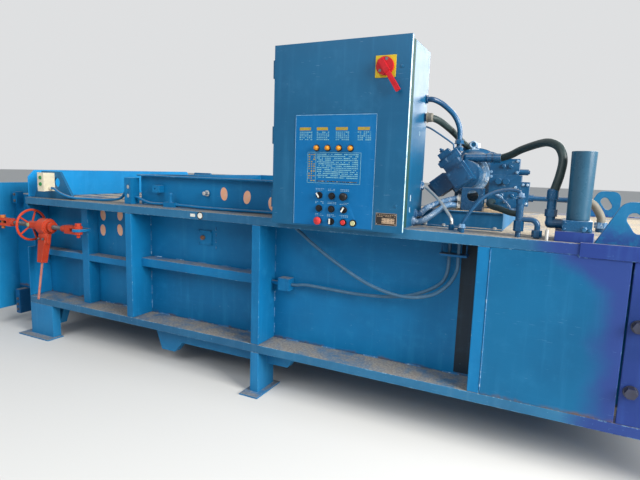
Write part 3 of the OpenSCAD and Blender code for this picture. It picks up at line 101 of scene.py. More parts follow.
class TreeBuilder:
    """Short calls for building a node tree of a material or of Geometry Nodes."""

    def __init__(self, tree: bpy.types.NodeTree) -> None:
        """Keeps the tree and where the next node goes.

        Args:
            tree: The node tree that is filled in.
        """
        self.tree = tree
        self.column = 0

    def add(self, kind: str, inputs: Optional[dict[Any, Any]] = None, **settings: Any) -> bpy.types.Node:
        """Adds a node, sets it up and links its inputs.

        Args:
            kind: The node's type name.
            inputs: Input name or number to a value or to another node's socket.
            **settings: Properties of the node itself.

        Returns:
            The new node.
        """
        node = self.tree.nodes.new(kind)
        node.location = (self.column * 40, -(self.column % 7) * 60)
        self.column += 1
        for name, value in settings.items():
            setattr(node, name, value)
        for key, value in (inputs or {}).items():
            if isinstance(value, Socket):
                self.tree.links.new(value, node.inputs[key])
            else:
                node.inputs[key].default_value = value
        return node

    def out(self, kind: str, inputs: Optional[dict[Any, Any]] = None, **settings: Any) -> Socket:
        """Adds a node in the same way and gives its first output."""
        return self.add(kind, inputs, **settings).outputs[0]

    def math(self, operation: str, a: Any, b: Any = 0.0, clamp: bool = False) -> Socket:
        """Result of an operation on two numbers, kept from 0 to 1 where it is clamped."""
        return self.out("ShaderNodeMath", {0: a, 1: b}, operation=operation, use_clamp=clamp)

    def times(self, a: Any, b: Any, clamp: bool = False) -> Socket:
        """Product of two numbers."""
        return self.math("MULTIPLY", a, b, clamp)

    def plus(self, a: Any, b: Any, clamp: bool = False) -> Socket:
        """Sum of two numbers."""
        return self.math("ADD", a, b, clamp)

    def minus(self, a: Any, b: Any) -> Socket:
        """Difference of two numbers."""
        return self.math("SUBTRACT", a, b)

    def ramp(self, value: Socket, low: float, high: float) -> Socket:
        """Smooth step of a number, from 0 at low to 1 at high."""
        ends = {"Value": value, "From Min": low, "From Max": high}
        return self.out("ShaderNodeMapRange", ends, interpolation_type="SMOOTHSTEP")

    def noise(self, where: Socket, scale: float, detail: float = 3.0, rough: float = 0.55) -> Socket:
        """Cloudy noise from 0 to 1, by features per metre, number of finer layers and their strength."""
        inputs = {"Vector": where, "Scale": scale, "Detail": detail, "Roughness": rough}
        return self.out("ShaderNodeTexNoise", inputs)

    def stretched(self, where: Socket, scale: Point, turn: Point = (0.0, 0.0, 0.0)) -> Socket:
        """Coordinates stretched and turned, in radians, before a texture reads them."""
        return self.out("ShaderNodeMapping", {"Vector": where, "Scale": scale, "Rotation": turn})

    def mix(self, share: Any, a: Any, b: Any) -> Socket:
        """Blends two colours, of which the second shows by its share."""
        first, second = (c if isinstance(c, Socket) else (*c, 1.0) for c in (a, b))
        return self.add("ShaderNodeMix", {0: share, 6: first, 7: second}, data_type="RGBA").outputs[2]

    def veil(self, colour: Any, over: Any, mask: Socket, low: float, high: float, share: float) -> Socket:
        """Lays a colour over another by a share, where a mask rises from low to high."""
        return self.mix(self.times(self.ramp(mask, low, high), share), colour, over)

    def scaled(self, vector: Any, factor: Any) -> Socket:
        """Multiplies a vector by a number."""
        return self.out("ShaderNodeVectorMath", {0: vector, "Scale": factor}, operation="SCALE")

    def sizes(self, low: Point, high: Point, seed: Socket) -> Socket:
        """A random size for each element."""
        return self.out("FunctionNodeRandomValue", {0: low, 1: high, 8: seed}, data_type="FLOAT_VECTOR")

    def kept(self, share: Socket, seed: Socket) -> Socket:
        """Yes or no for each element, with the share that is yes."""
        return self.add("FunctionNodeRandomValue", {6: share, 8: seed}, data_type="BOOLEAN").outputs[3]

    def raised(self, geometry: Socket, height: Socket) -> Socket:
        """Moves geometry up."""
        lift = self.out("ShaderNodeCombineXYZ", {2: height})
        return self.out("GeometryNodeTransform", {"Geometry": geometry, "Translation": lift})


def fresh_material(name: str) -> tuple[bpy.types.Material, TreeBuilder]:
    """Makes an empty material with a node tree.

    Args:
        name: The material's name.

    Returns:
        The material and a builder for its tree.
    """
    material = bpy.data.materials.new(name)
    material.use_nodes = True
    material.node_tree.nodes.clear()
    return material, TreeBuilder(material.node_tree)


def close_material(build: TreeBuilder, inputs: dict[str, Any], bump: Optional[Socket] = None,
                   depth: float = 0.0) -> None:
    """Adds the surface shader, its bump and the output.

    Args:
        build: The builder that holds the tree.
        inputs: Inputs of the surface shader.
        bump: Height for the bump, or None for a smooth surface.
        depth: Height of the bump in metres.
    """
    if bump is not None:
        bumped = {"Height": bump, "Distance": depth, "Strength": 0.6}
        inputs["Normal"] = build.out("ShaderNodeBump", bumped)
    shader = build.out("ShaderNodeBsdfPrincipled", inputs)
    build.add("ShaderNodeOutputMaterial", {"Surface": shader})


@dataclass(frozen=True)
class Finish:
    """A finish with its name and main colour, which builds its node material once."""

    name: str
    colour: Colour
    worn_edges: ClassVar[bool] = False

    def material(self, edge: bool = False) -> bpy.types.Material:
        """Gives the finish's material, which is built at the first call.

        Args:
            edge: Whether this is the surface along an edge.

        Returns:
            The material.
        """
        name = "look_" + self.name + ("_edge" if edge and self.worn_edges else "")
        found = bpy.data.materials.get(name)
        if found:
            return found
        material, build = fresh_material(name)
        self.fill(build, build.add("ShaderNodeTexCoord").outputs, edge)
        return material

    def fill(self, build: TreeBuilder, where: Any, edge: bool) -> None:
        """Fills the material's tree, each kind of finish in its own way.

        Args:
            build: The builder of the material's tree.
            where: Outputs of Texture Coordinate.
            edge: Whether this is the surface along an edge.
        """
        raise NotImplementedError(type(self).__name__)


@dataclass(frozen=True)
class PaintFinish(Finish):
    """Brushed and sprayed enamel on steel, with dust, chips, rust and worn edges."""

    shade: Colour
    faded: Colour
    chipped: Colour = (0.16, 0.32, 0.46)
    rough: float = 0.42
    gloss: float = 0.17
    chips: float = 0.68
    dust: float = 0.0
    dust_colour: Colour = (0.165, 0.150, 0.130)
    rust: float = 0.0
    rust_colour: Colour = (0.11, 0.055, 0.032)
    overspray_x: Optional[float] = None
    overspray: Colour = (0.020, 0.046, 0.19)
    overspray_width: float = 0.15
    foot_z: Optional[float] = None
    foot_depth: float = 0.023
    foot_x: float = -1.0
    foot: Colour = (0.13, 0.070, 0.040)
    worn_edges: ClassVar[bool] = True

    def paint(self, build: TreeBuilder, place: Socket, clouds: Socket) -> Socket:
        """Builds the colour of the paint itself, with patches, streaks, brush marks and overspray.

        Args:
            build: The builder of the material's tree.
            place: Object coordinates.
            clouds: Cloudy noise of the brushed coats.

        Returns:
            The colour's socket.
        """
        patches = build.noise(place, 1.7, 4.0)
        streaks = build.noise(build.stretched(place, (24.0, 24.0, 1.8)), 1.0, 4.0)
        brushed = build.noise(build.stretched(place, (3.0, 60.0, 60.0)), 1.0, 3.0)
        colour = build.mix(build.ramp(patches, 0.36, 0.66), self.colour, self.shade)
        for mask, low, high, share in (
            (streaks, 0.52, 0.80, 0.38), (brushed, 0.55, 0.85, 0.16), (clouds, 0.50, 0.78, 0.30),
        ):
            colour = build.veil(colour, self.faded, mask, low, high, share)
        if self.overspray_x is not None:
            apart = build.add("ShaderNodeSeparateXYZ", {0: place}).outputs
            wander = build.times(build.noise(place, 5.0, 5.0, 0.6), 0.16)
            climb = build.times(build.ramp(apart["Z"], 0.84, 1.02), 0.20)
            ragged = build.plus(build.plus(apart["X"], wander), climb)
            mist = build.ramp(ragged, self.overspray_x, self.overspray_x + self.overspray_width)
            colour = build.mix(mist, colour, self.overspray)
        return colour

    def chips_and_scratches(self, build: TreeBuilder, place: Socket, colour: Socket,
                            edge: bool) -> tuple[Socket, Socket]:
        """Lays chips and fine scratches over the paint.

        Args:
            build: The builder of the material's tree.
            place: Object coordinates.
            colour: The paint's colour.
            edge: Whether this is the paint along an edge.

        Returns:
            The colour and the share of chipped paint.
        """
        low = self.chips - (0.12 if edge else 0.0)
        chips = build.ramp(build.noise(place, 42.0, 6.0, 0.7), low, low + 0.05)
        if edge:
            chips = build.times(chips, build.ramp(build.noise(place, 3.0, 3.0), 0.36, 0.56))
        colour = build.mix(build.times(chips, 0.6), colour, self.chipped)
        fine = build.noise(build.stretched(place, (14.0, 14.0, 320.0), (0.5, 0.4, 0.9)), 1.0, 2.0)
        return build.veil(colour, self.chipped, fine, 0.72, 0.76, 0.35), chips

    def rust_and_foot(self, build: TreeBuilder, place: Socket, colour: Socket) -> Socket:
        """Lays rust spots over the paint, and a ragged band along its foot.

        Args:
            build: The builder of the material's tree.
            place: Object coordinates.
            colour: The paint's colour.

        Returns:
            The colour's socket.
        """
        if self.rust:
            spots = build.noise(place, 17.0, 7.0, 0.75)
            low, high = 0.76 - self.rust * 0.2, 0.84 - self.rust * 0.2
            colour = build.veil(colour, self.rust_colour, spots, low, high, 0.85)
        if self.foot_z is not None:
            apart = build.add("ShaderNodeSeparateXYZ", {0: place}).outputs
            height = build.plus(apart["Z"], build.times(build.noise(place, 12.0, 5.0), 0.05))
            start = self.foot_z + 0.022
            band = build.minus(1.0, build.ramp(height, start, start + self.foot_depth))
            band = build.times(band, build.ramp(build.noise(place, 9.0, 5.0, 0.7), 0.42, 0.6))
            band = build.times(band, build.ramp(apart["X"], self.foot_x, self.foot_x + 0.1))
            colour = build.mix(build.times(band, 0.85), colour, self.foot)
        return colour

    def settled_dust(self, build: TreeBuilder, where: Any, colour: Socket,
                     rough: Socket) -> tuple[Socket, Socket]:
        """Lays dust on what faces up.

        Args:
            build: The builder of the material's tree.
            where: Outputs of Texture Coordinate.
            colour: The paint's colour.
            rough: The paint's roughness.

        Returns:
            The colour and the roughness.
        """
        place = where["Object"]
        up = build.add("ShaderNodeSeparateXYZ", {0: where["Normal"]}).outputs["Z"]
        drifts = build.ramp(build.noise(place, 5.0, 6.0, 0.7), 0.30, 0.58)
        layer = build.times(build.times(build.ramp(up, 0.55, 0.9), self.dust), drifts, clamp=True)
        fine = build.ramp(build.noise(place, 80.0, 5.0, 0.75), 0.36, 0.66)
        pale = tuple(1.8 * c for c in self.dust_colour)
        colour = build.mix(layer, colour, build.mix(fine, self.dust_colour, pale))
        return colour, build.plus(rough, build.times(layer, 0.45), clamp=True)

    def fill(self, build: TreeBuilder, where: Any, edge: bool) -> None:
        """Builds the paint, its wear and its bump.

        Args:
            build: The builder of the material's tree.
            where: Outputs of Texture Coordinate.
            edge: Whether this is the paint along an edge.
        """
        place = where["Object"]
        clouds = build.noise(place, 11.0, 5.0, 0.65)
        grain = build.noise(place, 230.0, 2.0)
        colour = self.paint(build, place, clouds)
        colour, chips = self.chips_and_scratches(build, place, colour, edge)
        colour = self.rust_and_foot(build, place, colour)
        rough = build.plus(build.times(clouds, 0.16), self.rough - 0.08)
        if self.dust:
            colour, rough = self.settled_dust(build, where, colour, rough)
        height = build.plus(build.times(clouds, 0.5), build.times(grain, 0.3))
        height = build.minus(height, build.times(chips, 0.4))
        inputs = {"Base Color": colour, "Roughness": rough, "Specular IOR Level": self.gloss}
        close_material(build, inputs, height, 0.0007)


@dataclass(frozen=True)
class MetalFinish(Finish):
    """Bare, plated or worn metal with fine scratches."""

    stain: Colour
    rough: float = 0.34
    stained: float = 0.5
    metallic: float = 0.85

    def fill(self, build: TreeBuilder, where: Any, edge: bool) -> None:
        """Builds the metal, which looks the same along an edge.

        Args:
            build: The builder of the material's tree.
            where: Outputs of Texture Coordinate.
            edge: Whether this is an edge, which changes nothing here.
        """
        cloud = build.noise(where["Object"], 24.0, 5.0, 0.65)
        scratch = build.noise(build.stretched(where["Object"], (9.0, 240.0, 240.0)), 1.0, 3.0)
        low = 0.78 - 0.4 * self.stained
        colour = build.mix(build.ramp(cloud, low, low + 0.2), self.colour, self.stain)
        rough = build.plus(build.times(scratch, 0.22), self.rough - 0.08)
        inputs = {"Base Color": colour, "Roughness": rough, "Metallic": self.metallic}
        close_material(build, inputs, scratch, 0.0003)


@dataclass(frozen=True)
class PlasticFinish(Finish):
    """Moulded plastic, rubber, print or a plate, with light soiling."""

    soiled: Colour
    rough: float = 0.4
    speckle: float = 260.0
    soil: float = 0.4
    coat: float = 0.0
    glow: float = 0.0

    def fill(self, build: TreeBuilder, where: Any, edge: bool) -> None:
        """Builds the plastic, which looks the same along an edge.

        Args:
            build: The builder of the material's tree.
            where: Outputs of Texture Coordinate.
            edge: Whether this is an edge, which changes nothing here.
        """
        grain = build.noise(where["Object"], self.speckle, 2.0)
        dirt = build.noise(where["Object"], 30.0, 5.0, 0.65)
        colour = build.veil(self.colour, self.soiled, dirt, 0.42, 0.72, self.soil)
        rough = build.plus(build.times(dirt, 0.2), self.rough - 0.06)
        inputs = {"Base Color": colour, "Roughness": rough, "Coat Weight": self.coat,
                  "Specular IOR Level": 0.25}
        if self.glow:
            inputs["Emission Color"] = (*self.colour, 1.0)
            inputs["Emission Strength"] = self.glow
        close_material(build, inputs, grain, 0.0002)


BLUE = PaintFinish("blue_enamel", (0.004, 0.144, 0.335), (0.003, 0.106, 0.255), (0.018, 0.205, 0.420),
                   dust=0.75)
WALL_BLUE = replace(BLUE, name="wall_enamel", foot_z=FLOOR_Z)
LUG_BLUE = PaintFinish("lug_enamel", (0.010, 0.122, 0.262), (0.008, 0.100, 0.222), (0.030, 0.160, 0.320),
                       dust=0.5, foot_z=1.07, foot_depth=0.09, foot_x=3.4, foot=(0.020, 0.045, 0.20))
# Painted light: a lighter copy of the blue enamel that brightens the door, which sits in shade. It has no
# rust along its foot.
DOOR_LIT_BLUE = PaintFinish("door_lit_blue_enamel", (0.010, 0.205, 0.440), (0.008, 0.165, 0.360),
                        (0.030, 0.260, 0.520), dust=0.6)
# Painted shade: a near-black paint for a sheet on the wall where the last rib's shadow falls.
CORNER_SHADE = PaintFinish("painted_corner_shade", (0.014, 0.026, 0.040), (0.010, 0.015, 0.020),
                           (0.024, 0.055, 0.090))
# Painted light: a lighter copy of the blue enamel that makes the header's face look lit from the right.
HEADER_LIT_BLUE = PaintFinish("header_lit_blue_enamel", (0.010, 0.265, 0.610), (0.008, 0.215, 0.510),
                          (0.035, 0.330, 0.690), dust=0.6)
FLANGE_BLUE = PaintFinish("flange_blue_enamel", (0.024, 0.132, 0.255), (0.016, 0.092, 0.190),
                          (0.070, 0.190, 0.310), chips=0.63, dust=0.95, rust=0.27, overspray_x=3.72)
TANK_BLUE = PaintFinish("tank_blue_enamel", (0.004, 0.106, 0.235), (0.003, 0.086, 0.198),
                        (0.018, 0.150, 0.300), overspray_x=3.77, rust=0.10, foot_z=FLOOR_Z)
DEEP_BLUE = PaintFinish("deep_blue_enamel", (0.006, 0.085, 0.215), (0.005, 0.062, 0.165),
                        (0.026, 0.140, 0.300), dust=0.8, rust=0.2)
SKID_BLUE = PaintFinish("skid_blue_enamel", (0.020, 0.150, 0.320), (0.012, 0.108, 0.240),
                        (0.070, 0.230, 0.400), dust=1.3, dust_colour=(0.36, 0.27, 0.17), rust=0.2)
CABINET_BLUE = PaintFinish("cabinet_blue_enamel", (0.003, 0.084, 0.184), (0.002, 0.070, 0.158),
                           (0.018, 0.125, 0.245), rough=0.36, chips=0.69, dust=0.5,
                           chipped=(0.32, 0.46, 0.58), gloss=0.32)
OVERLAY_BLUE = PaintFinish("overlay_blue", (0.003, 0.116, 0.305), (0.002, 0.104, 0.275),
                           (0.016, 0.150, 0.350), rough=0.34, chips=0.77, chipped=(0.22, 0.38, 0.54))
UNIT_BLUE = PaintFinish("unit_blue_enamel", (0.003, 0.070, 0.170), (0.002, 0.036, 0.095),
                        (0.040, 0.160, 0.300), rough=0.27, chips=0.64, dust=0.6, gloss=0.42,
                        chipped=(0.26, 0.38, 0.48))
WORN_BLUE = PaintFinish("worn_unit_enamel", (0.14, 0.26, 0.40), (0.016, 0.095, 0.22),
                        (0.50, 0.56, 0.60), rough=0.32, chips=0.55, chipped=(0.66, 0.68, 0.68), gloss=0.5)
NAVY = PaintFinish("overspray_navy", (0.016, 0.038, 0.185), (0.010, 0.030, 0.140),
                   (0.030, 0.085, 0.270), rough=0.46, dust=0.5)
LOCK_RED = PaintFinish("lock_red_enamel", (0.47, 0.046, 0.018), (0.28, 0.028, 0.012),
                       (0.58, 0.10, 0.05), chipped=(0.42, 0.15, 0.10), rough=0.38, chips=0.66,
                       dust=0.25, rust=0.30)
PIN_ORANGE = PaintFinish("pin_orange_enamel", (0.62, 0.19, 0.045), (0.45, 0.12, 0.03),
                         (0.72, 0.30, 0.10), chipped=(0.30, 0.18, 0.12), rough=0.5)
ROD_PINK = PaintFinish("rod_primer", (0.42, 0.205, 0.160), (0.30, 0.100, 0.080), (0.52, 0.33, 0.28),
                       chipped=(0.30, 0.05, 0.03), rough=0.5, chips=0.56)
BOLT_BLACK = PaintFinish("bolt_black", (0.018, 0.022, 0.050), (0.010, 0.012, 0.026),
                         (0.040, 0.050, 0.110), chipped=(0.30, 0.32, 0.38), rough=0.35, gloss=0.5)
RAM_STEEL = MetalFinish("ram_steel", (0.26, 0.27, 0.28), (0.13, 0.085, 0.055), rough=0.4)
SHOE_STEEL = MetalFinish("shoe_steel", (0.42, 0.40, 0.36), (0.20, 0.13, 0.08), rough=0.36)
CHROME = MetalFinish("rod_chrome", (0.80, 0.81, 0.83), (0.55, 0.55, 0.55), rough=0.14, stained=0.15)
ZINC = MetalFinish("zinc_steel", (0.58, 0.58, 0.56), (0.26, 0.20, 0.15), rough=0.34)
DARK_STEEL = MetalFinish("dark_steel", (0.12, 0.12, 0.13), (0.10, 0.055, 0.03), rough=0.42, metallic=0.6)
RUSTY_STEEL = MetalFinish("rusty_steel", (0.30, 0.20, 0.13), (0.16, 0.06, 0.03), rough=0.6,
                          stained=0.9, metallic=0.3)
WELD = PaintFinish("painted_weld", (0.012, 0.140, 0.330), (0.008, 0.110, 0.270), (0.10, 0.30, 0.52),
                   chipped=(0.42, 0.55, 0.64), chips=0.55, rough=0.3, gloss=0.6)
WHITE_PLATE = PlasticFinish("white_plate", (0.72, 0.72, 0.68), (0.50, 0.48, 0.42), rough=0.45)
SWITCH_RED = PlasticFinish("switch_red", (0.38, 0.006, 0.012), (0.20, 0.004, 0.008), rough=0.40)
YELLOW = PlasticFinish("plate_yellow", (0.50, 0.355, 0.014), (0.32, 0.22, 0.02), rough=0.42)
AMBER = PlasticFinish("lamp_amber", (0.46, 0.180, 0.006), (0.28, 0.09, 0.005), rough=0.28, coat=0.2,
                      glow=0.02)
BLACK = PlasticFinish("operator_black", (0.006, 0.006, 0.007), (0.022, 0.022, 0.025), rough=0.34)
BUTTON_RED = PlasticFinish("button_red", (0.48, 0.030, 0.032), (0.30, 0.030, 0.030), rough=0.34)
CREAM = PlasticFinish("button_cream", (0.42, 0.42, 0.22), (0.30, 0.28, 0.16), rough=0.42)
GREEN = PlasticFinish("button_green", (0.025, 0.20, 0.060), (0.02, 0.10, 0.04), rough=0.4)
BEIGE = PlasticFinish("station_beige", (0.62, 0.56, 0.42), (0.38, 0.33, 0.24), rough=0.5)
RUBBER = PlasticFinish("hose_rubber", (0.018, 0.032, 0.033), (0.036, 0.052, 0.053), rough=0.36)
HOSE_BEIGE = PlasticFinish("hose_beige", (0.165, 0.155, 0.130), (0.090, 0.082, 0.065), rough=0.5)
CABLE = PlasticFinish("cable_jacket", (0.040, 0.105, 0.180), (0.100, 0.170, 0.240), rough=0.36)
# Partly painted shade: dark green for the door's gasket, which also stands for the shadowed gap beside the
# door.
GASKET_AND_SHADE = PlasticFinish("gasket_and_painted_shade", (0.012, 0.050, 0.045), (0.030, 0.070, 0.060), rough=0.6)
# Partly painted highlight: a pale strip for the door's right edge, where light from the right falls,
# together with its worn paint.
EDGE_HIGHLIGHT_AND_WEAR = PlasticFinish("door_edge_highlight_and_wear", (0.52, 0.66, 0.66), (0.16, 0.34, 0.44), rough=0.4, soil=0.9)
PRINT_PALE = PlasticFinish("print_pale", (0.19, 0.40, 0.42), (0.06, 0.22, 0.34), rough=0.5, soil=0.8)
PRINT_WHITE = PlasticFinish("print_white", (0.24, 0.38, 0.48), (0.07, 0.22, 0.38), rough=0.5, soil=0.8)
PRINT_AMBER = PlasticFinish("print_amber", (0.32, 0.22, 0.03), (0.20, 0.17, 0.06), rough=0.5, soil=0.7)
PLATE_DARK = PlasticFinish("plate_dark", (0.020, 0.018, 0.018), (0.060, 0.050, 0.045), rough=0.35)
PLATE_BRASS = PlasticFinish("plate_brass", (0.42, 0.30, 0.20), (0.22, 0.15, 0.10), rough=0.4, soil=0.7)
PEACH = PlasticFinish("decal_peach", (0.78, 0.38, 0.23), (0.70, 0.50, 0.40), rough=0.45, soil=0.7)
STICKER_WHITE = PlasticFinish("sticker_white", (0.66, 0.66, 0.60), (0.34, 0.33, 0.30), rough=0.5, soil=0.8)
GRIT = PlasticFinish("loose_grit", (0.150, 0.130, 0.108), (0.070, 0.055, 0.042), rough=0.8, soil=0.9)
SCUFF = PlasticFinish("scuff_white", (0.46, 0.54, 0.58), (0.22, 0.34, 0.40), rough=0.5, soil=0.8)
DECK_BLUE = PaintFinish("deck_enamel", (0.010, 0.115, 0.270), (0.007, 0.090, 0.210),
                        (0.045, 0.175, 0.340), dust=1.5, dust_colour=(0.34, 0.285, 0.215))
LEG_BLUE = PaintFinish("leg_enamel", (0.014, 0.165, 0.355), (0.010, 0.125, 0.285),
                       (0.040, 0.215, 0.420), dust=0.8, rust=0.2)
CANISTER_BLUE = PaintFinish("canister_enamel", (0.017, 0.072, 0.125), (0.010, 0.058, 0.105),
                            (0.050, 0.125, 0.190), rough=0.28, gloss=0.42, chips=0.75)


def placed(name: str, data: Any) -> bpy.types.Object:
    """Puts data into the scene as an object at the origin.

    Args:
        name: The object's name.
        data: Its mesh, light or camera.

    Returns:
        The new object.
    """
    thing = bpy.data.objects.new(name, data)
    bpy.context.scene.collection.objects.link(thing)
    return thing


def flat_mesh(name: str, points: Iterable[Point], edges: Sequence[Any] = (),
              faces: Sequence[Any] = ()) -> bpy.types.Mesh:
    """Makes a mesh from points, with edges or faces between them.

    Args:
        name: The mesh's name.
        points: Its points.
        edges: Numbers of the two points of each edge.
        faces: Numbers of the points of each face.

    Returns:
        The mesh.
    """
    mesh = bpy.data.meshes.new(name)
    mesh.from_pydata(list(points), list(edges), list(faces))
    return mesh


@dataclass(frozen=True)
class Lamp:
    """A soft square lamp that hangs at a place and looks at a point."""

    name: str
    place: Point
    aim: Point
    size: float
    power: float
    colour: Colour

    def hang(self) -> None:
        """Adds the lamp to the scene, where the camera doesn't see it."""
        data = bpy.data.lights.new(self.name, "AREA")
        data.size = self.size
        data.energy = self.power
        data.color = self.colour
        lamp = placed(self.name, data)
        look = (Vector(self.aim) - Vector(self.place)).to_track_quat("-Z", "Y")
        lamp.matrix_world = Matrix.Translation(self.place) @ look.to_matrix().to_4x4()
        lamp.visible_camera = False


@dataclass(frozen=True)
class SceneSetting:
    """Camera, plain floor, backdrop and soft studio light."""

    place: Point = (3.577, -2.311, 1.326)
    focal_px: float = 491.54
    picture_w: float = 640.0
    sensor_mm: float = 36.0
    yaw: float = math.radians(26.04)
    pitch: float = math.radians(8.24)
    roll: float = math.radians(-1.846)
    reach: float = 60.0
    floor_colour: tuple[float, float, float, float] = (0.62, 0.61, 0.59, 1.0)
    light_colour: tuple[float, float, float, float] = (0.84, 0.92, 1.0, 1.0)
    backdrop_colour: tuple[float, float, float, float] = (0.80, 0.81, 0.82, 1.0)
    lamps: tuple[Lamp, ...] = (
        Lamp("window_light", (9.0, -1.4, 3.8), (1.6, 0.3, 0.8), 4.2, 1200.0, (1.0, 0.985, 0.95)),
        Lamp("front_light", (1.0, -5.8, 6.4), (2.0, 0.2, 0.7), 4.6, 285.0, (0.96, 0.98, 1.0)),
        Lamp("back_window", (5.3, 8.6, 3.9), (2.9, 0.2, 1.6), 3.2, 205.0, (1.0, 1.0, 0.98)),
    )

    def camera(self) -> None:
        """Sets the camera where the photograph was taken from."""
        forward = Vector((
            -math.sin(self.yaw) * math.cos(self.pitch),
            math.cos(self.yaw) * math.cos(self.pitch),
            -math.sin(self.pitch),
        ))
        level = Vector((math.cos(self.yaw), math.sin(self.yaw), 0.0))
        below = forward.cross(level)
        right = math.cos(self.roll) * level + math.sin(self.roll) * below
        down = -math.sin(self.roll) * level + math.cos(self.roll) * below
        turn = Matrix((right, -down, -forward)).transposed().to_4x4()
        data = bpy.data.cameras.new("camera")
        data.sensor_width = self.sensor_mm
        data.sensor_fit = "HORIZONTAL"
        data.lens = self.focal_px / self.picture_w * self.sensor_mm
        data.clip_end = 200.0
        camera = placed("camera", data)
        camera.matrix_world = Matrix.Translation(self.place) @ turn
        bpy.context.scene.camera = camera

    def floor(self) -> None:
        """Lays a plain pale floor under the machine."""
        far = self.reach
        mesh = flat_mesh("floor", [(-far, -far, 0), (far, -far, 0), (far, far, 0), (-far, far, 0)],
                         faces=[(0, 1, 2, 3)])
        material, build = fresh_material("pale_floor")
        close_material(build, {"Base Color": self.floor_colour, "Roughness": 0.8})
        mesh.materials.append(material)
        floor = placed("floor", mesh)

    def world(self) -> None:
        """Fills the surroundings with a pale light, paler still behind the machine."""
        world = bpy.data.worlds.new("pale_world")
        world.use_nodes = True
        world.node_tree.nodes.clear()
        build = TreeBuilder(world.node_tree)
        path = build.add("ShaderNodeLightPath").outputs
        seen = build.math("MAXIMUM", path["Is Camera Ray"], path["Is Glossy Ray"])
        light = build.out("ShaderNodeBackground", {"Color": self.light_colour, "Strength": 0.50})
        shown = build.out("ShaderNodeBackground", {"Color": self.backdrop_colour, "Strength": 0.92})
        both = build.out("ShaderNodeMixShader", {0: seen, 1: light, 2: shown})
        build.add("ShaderNodeOutputWorld", {"Surface": both})
        bpy.context.scene.world = world

    def build(self) -> None:
        """Makes everything that isn't part of the machine."""
        bpy.context.scene.view_settings.view_transform = "Standard"
        self.camera()
        self.floor()
        self.world()
        for lamp in self.lamps:
            lamp.hang()


def show(name: str, mesh: bpy.types.Mesh, node: str, stands_for_it: bool = False) -> None:
    """Puts a finished mesh into the scene as a piece that moves with a CAD node's body.

    Args:
        name: The piece's name.
        mesh: Its mesh, with its place in its points.
        node: The CAD node that carries it or that it stands for.
        stands_for_it: Whether the piece stands for the node.
    """
    piece = placed(name, mesh)
    body = frame["nodes"][node]["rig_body"]
    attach(piece, body)
    if stands_for_it:
        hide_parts(node)


def smooth(mesh: bpy.types.Mesh, angle: float = 30.0) -> None:
    """Shades a mesh smooth, with sharp edges above an angle in degrees."""
    mesh.polygons.foreach_set("use_smooth", [True] * len(mesh.polygons))
    mesh.set_sharp_from_angle(angle=math.radians(angle))


def baked(piece: bpy.types.Object) -> bpy.types.Mesh:
    """Turns an object with modifiers into a plain mesh and removes the object.

    Args:
        piece: The object to evaluate.

    Returns:
        The finished mesh.
    """
    graph = bpy.context.evaluated_depsgraph_get()
    mesh = bpy.data.meshes.new_from_object(piece.evaluated_get(graph))
    bpy.data.objects.remove(piece)
    return mesh


@dataclass(frozen=True)
class Patch:
    """Faces of a node inside a box that take a finish of their own."""

    low: Point
    high: Point
    finish: Finish

    def holds(self, point: Vector) -> bool:
        """Whether a point lies in the box."""
        return all(a <= p <= b for a, p, b in zip(self.low, point, self.high))


def cleaned_copy(node: str) -> bpy.types.Mesh:
    """Copies a CAD node's mesh, with its doubles merged and its flat faces joined.

    Args:
        node: The CAD node's name. Where it is in ROUGH_CUT, its triangles stay as they are.

    Returns:
        The copy.
    """
    shape = bmesh.new()
    shape.from_mesh(frame["nodes"][node].data)
    bmesh.ops.remove_doubles(shape, verts=shape.verts, dist=MERGE_DISTANCE)
    if node not in ROUGH_CUT:
        bmesh.ops.dissolve_limit(shape, angle_limit=FLAT_ANGLE, verts=shape.verts, edges=shape.edges)
    mesh = bpy.data.meshes.new(node + "_shown")
    shape.to_mesh(mesh)
    shape.free()
    return mesh


def eased(node: str, finish: Finish, radius: float, patches: Sequence[Patch] = ()) -> None:
    """Shows a CAD node as a copy with softly rounded, worn edges, which stands for it.

    Args:
        node: The CAD node's name.
        finish: Its finish.
        radius: Width of the rounding in metres.
        patches: Boxes whose faces take another finish.
    """
    mesh = cleaned_copy(node)
    mesh.materials.clear()
    for coat in (finish, *(patch.finish for patch in patches)):
        mesh.materials.append(coat.material())
        mesh.materials.append(coat.material(edge=True))
    mesh.polygons.foreach_set("material_index", [0] * len(mesh.polygons))
    smooth(mesh)
    work = placed(node + "_work", mesh)
    round_off = work.modifiers.new("ease", "BEVEL")
    round_off.width = radius
    round_off.segments = 2
    round_off.limit_method = "ANGLE"
    round_off.angle_limit = EDGE_ANGLE
    round_off.material = 1
    round_off.harden_normals = True
    result = baked(work)
    for face in result.polygons:
        for index, patch in enumerate(patches):
            if patch.holds(face.center):
                face.material_index = 2 * (index + 1) + face.material_index % 2
    show(node + "_shown", result, node, stands_for_it=True)


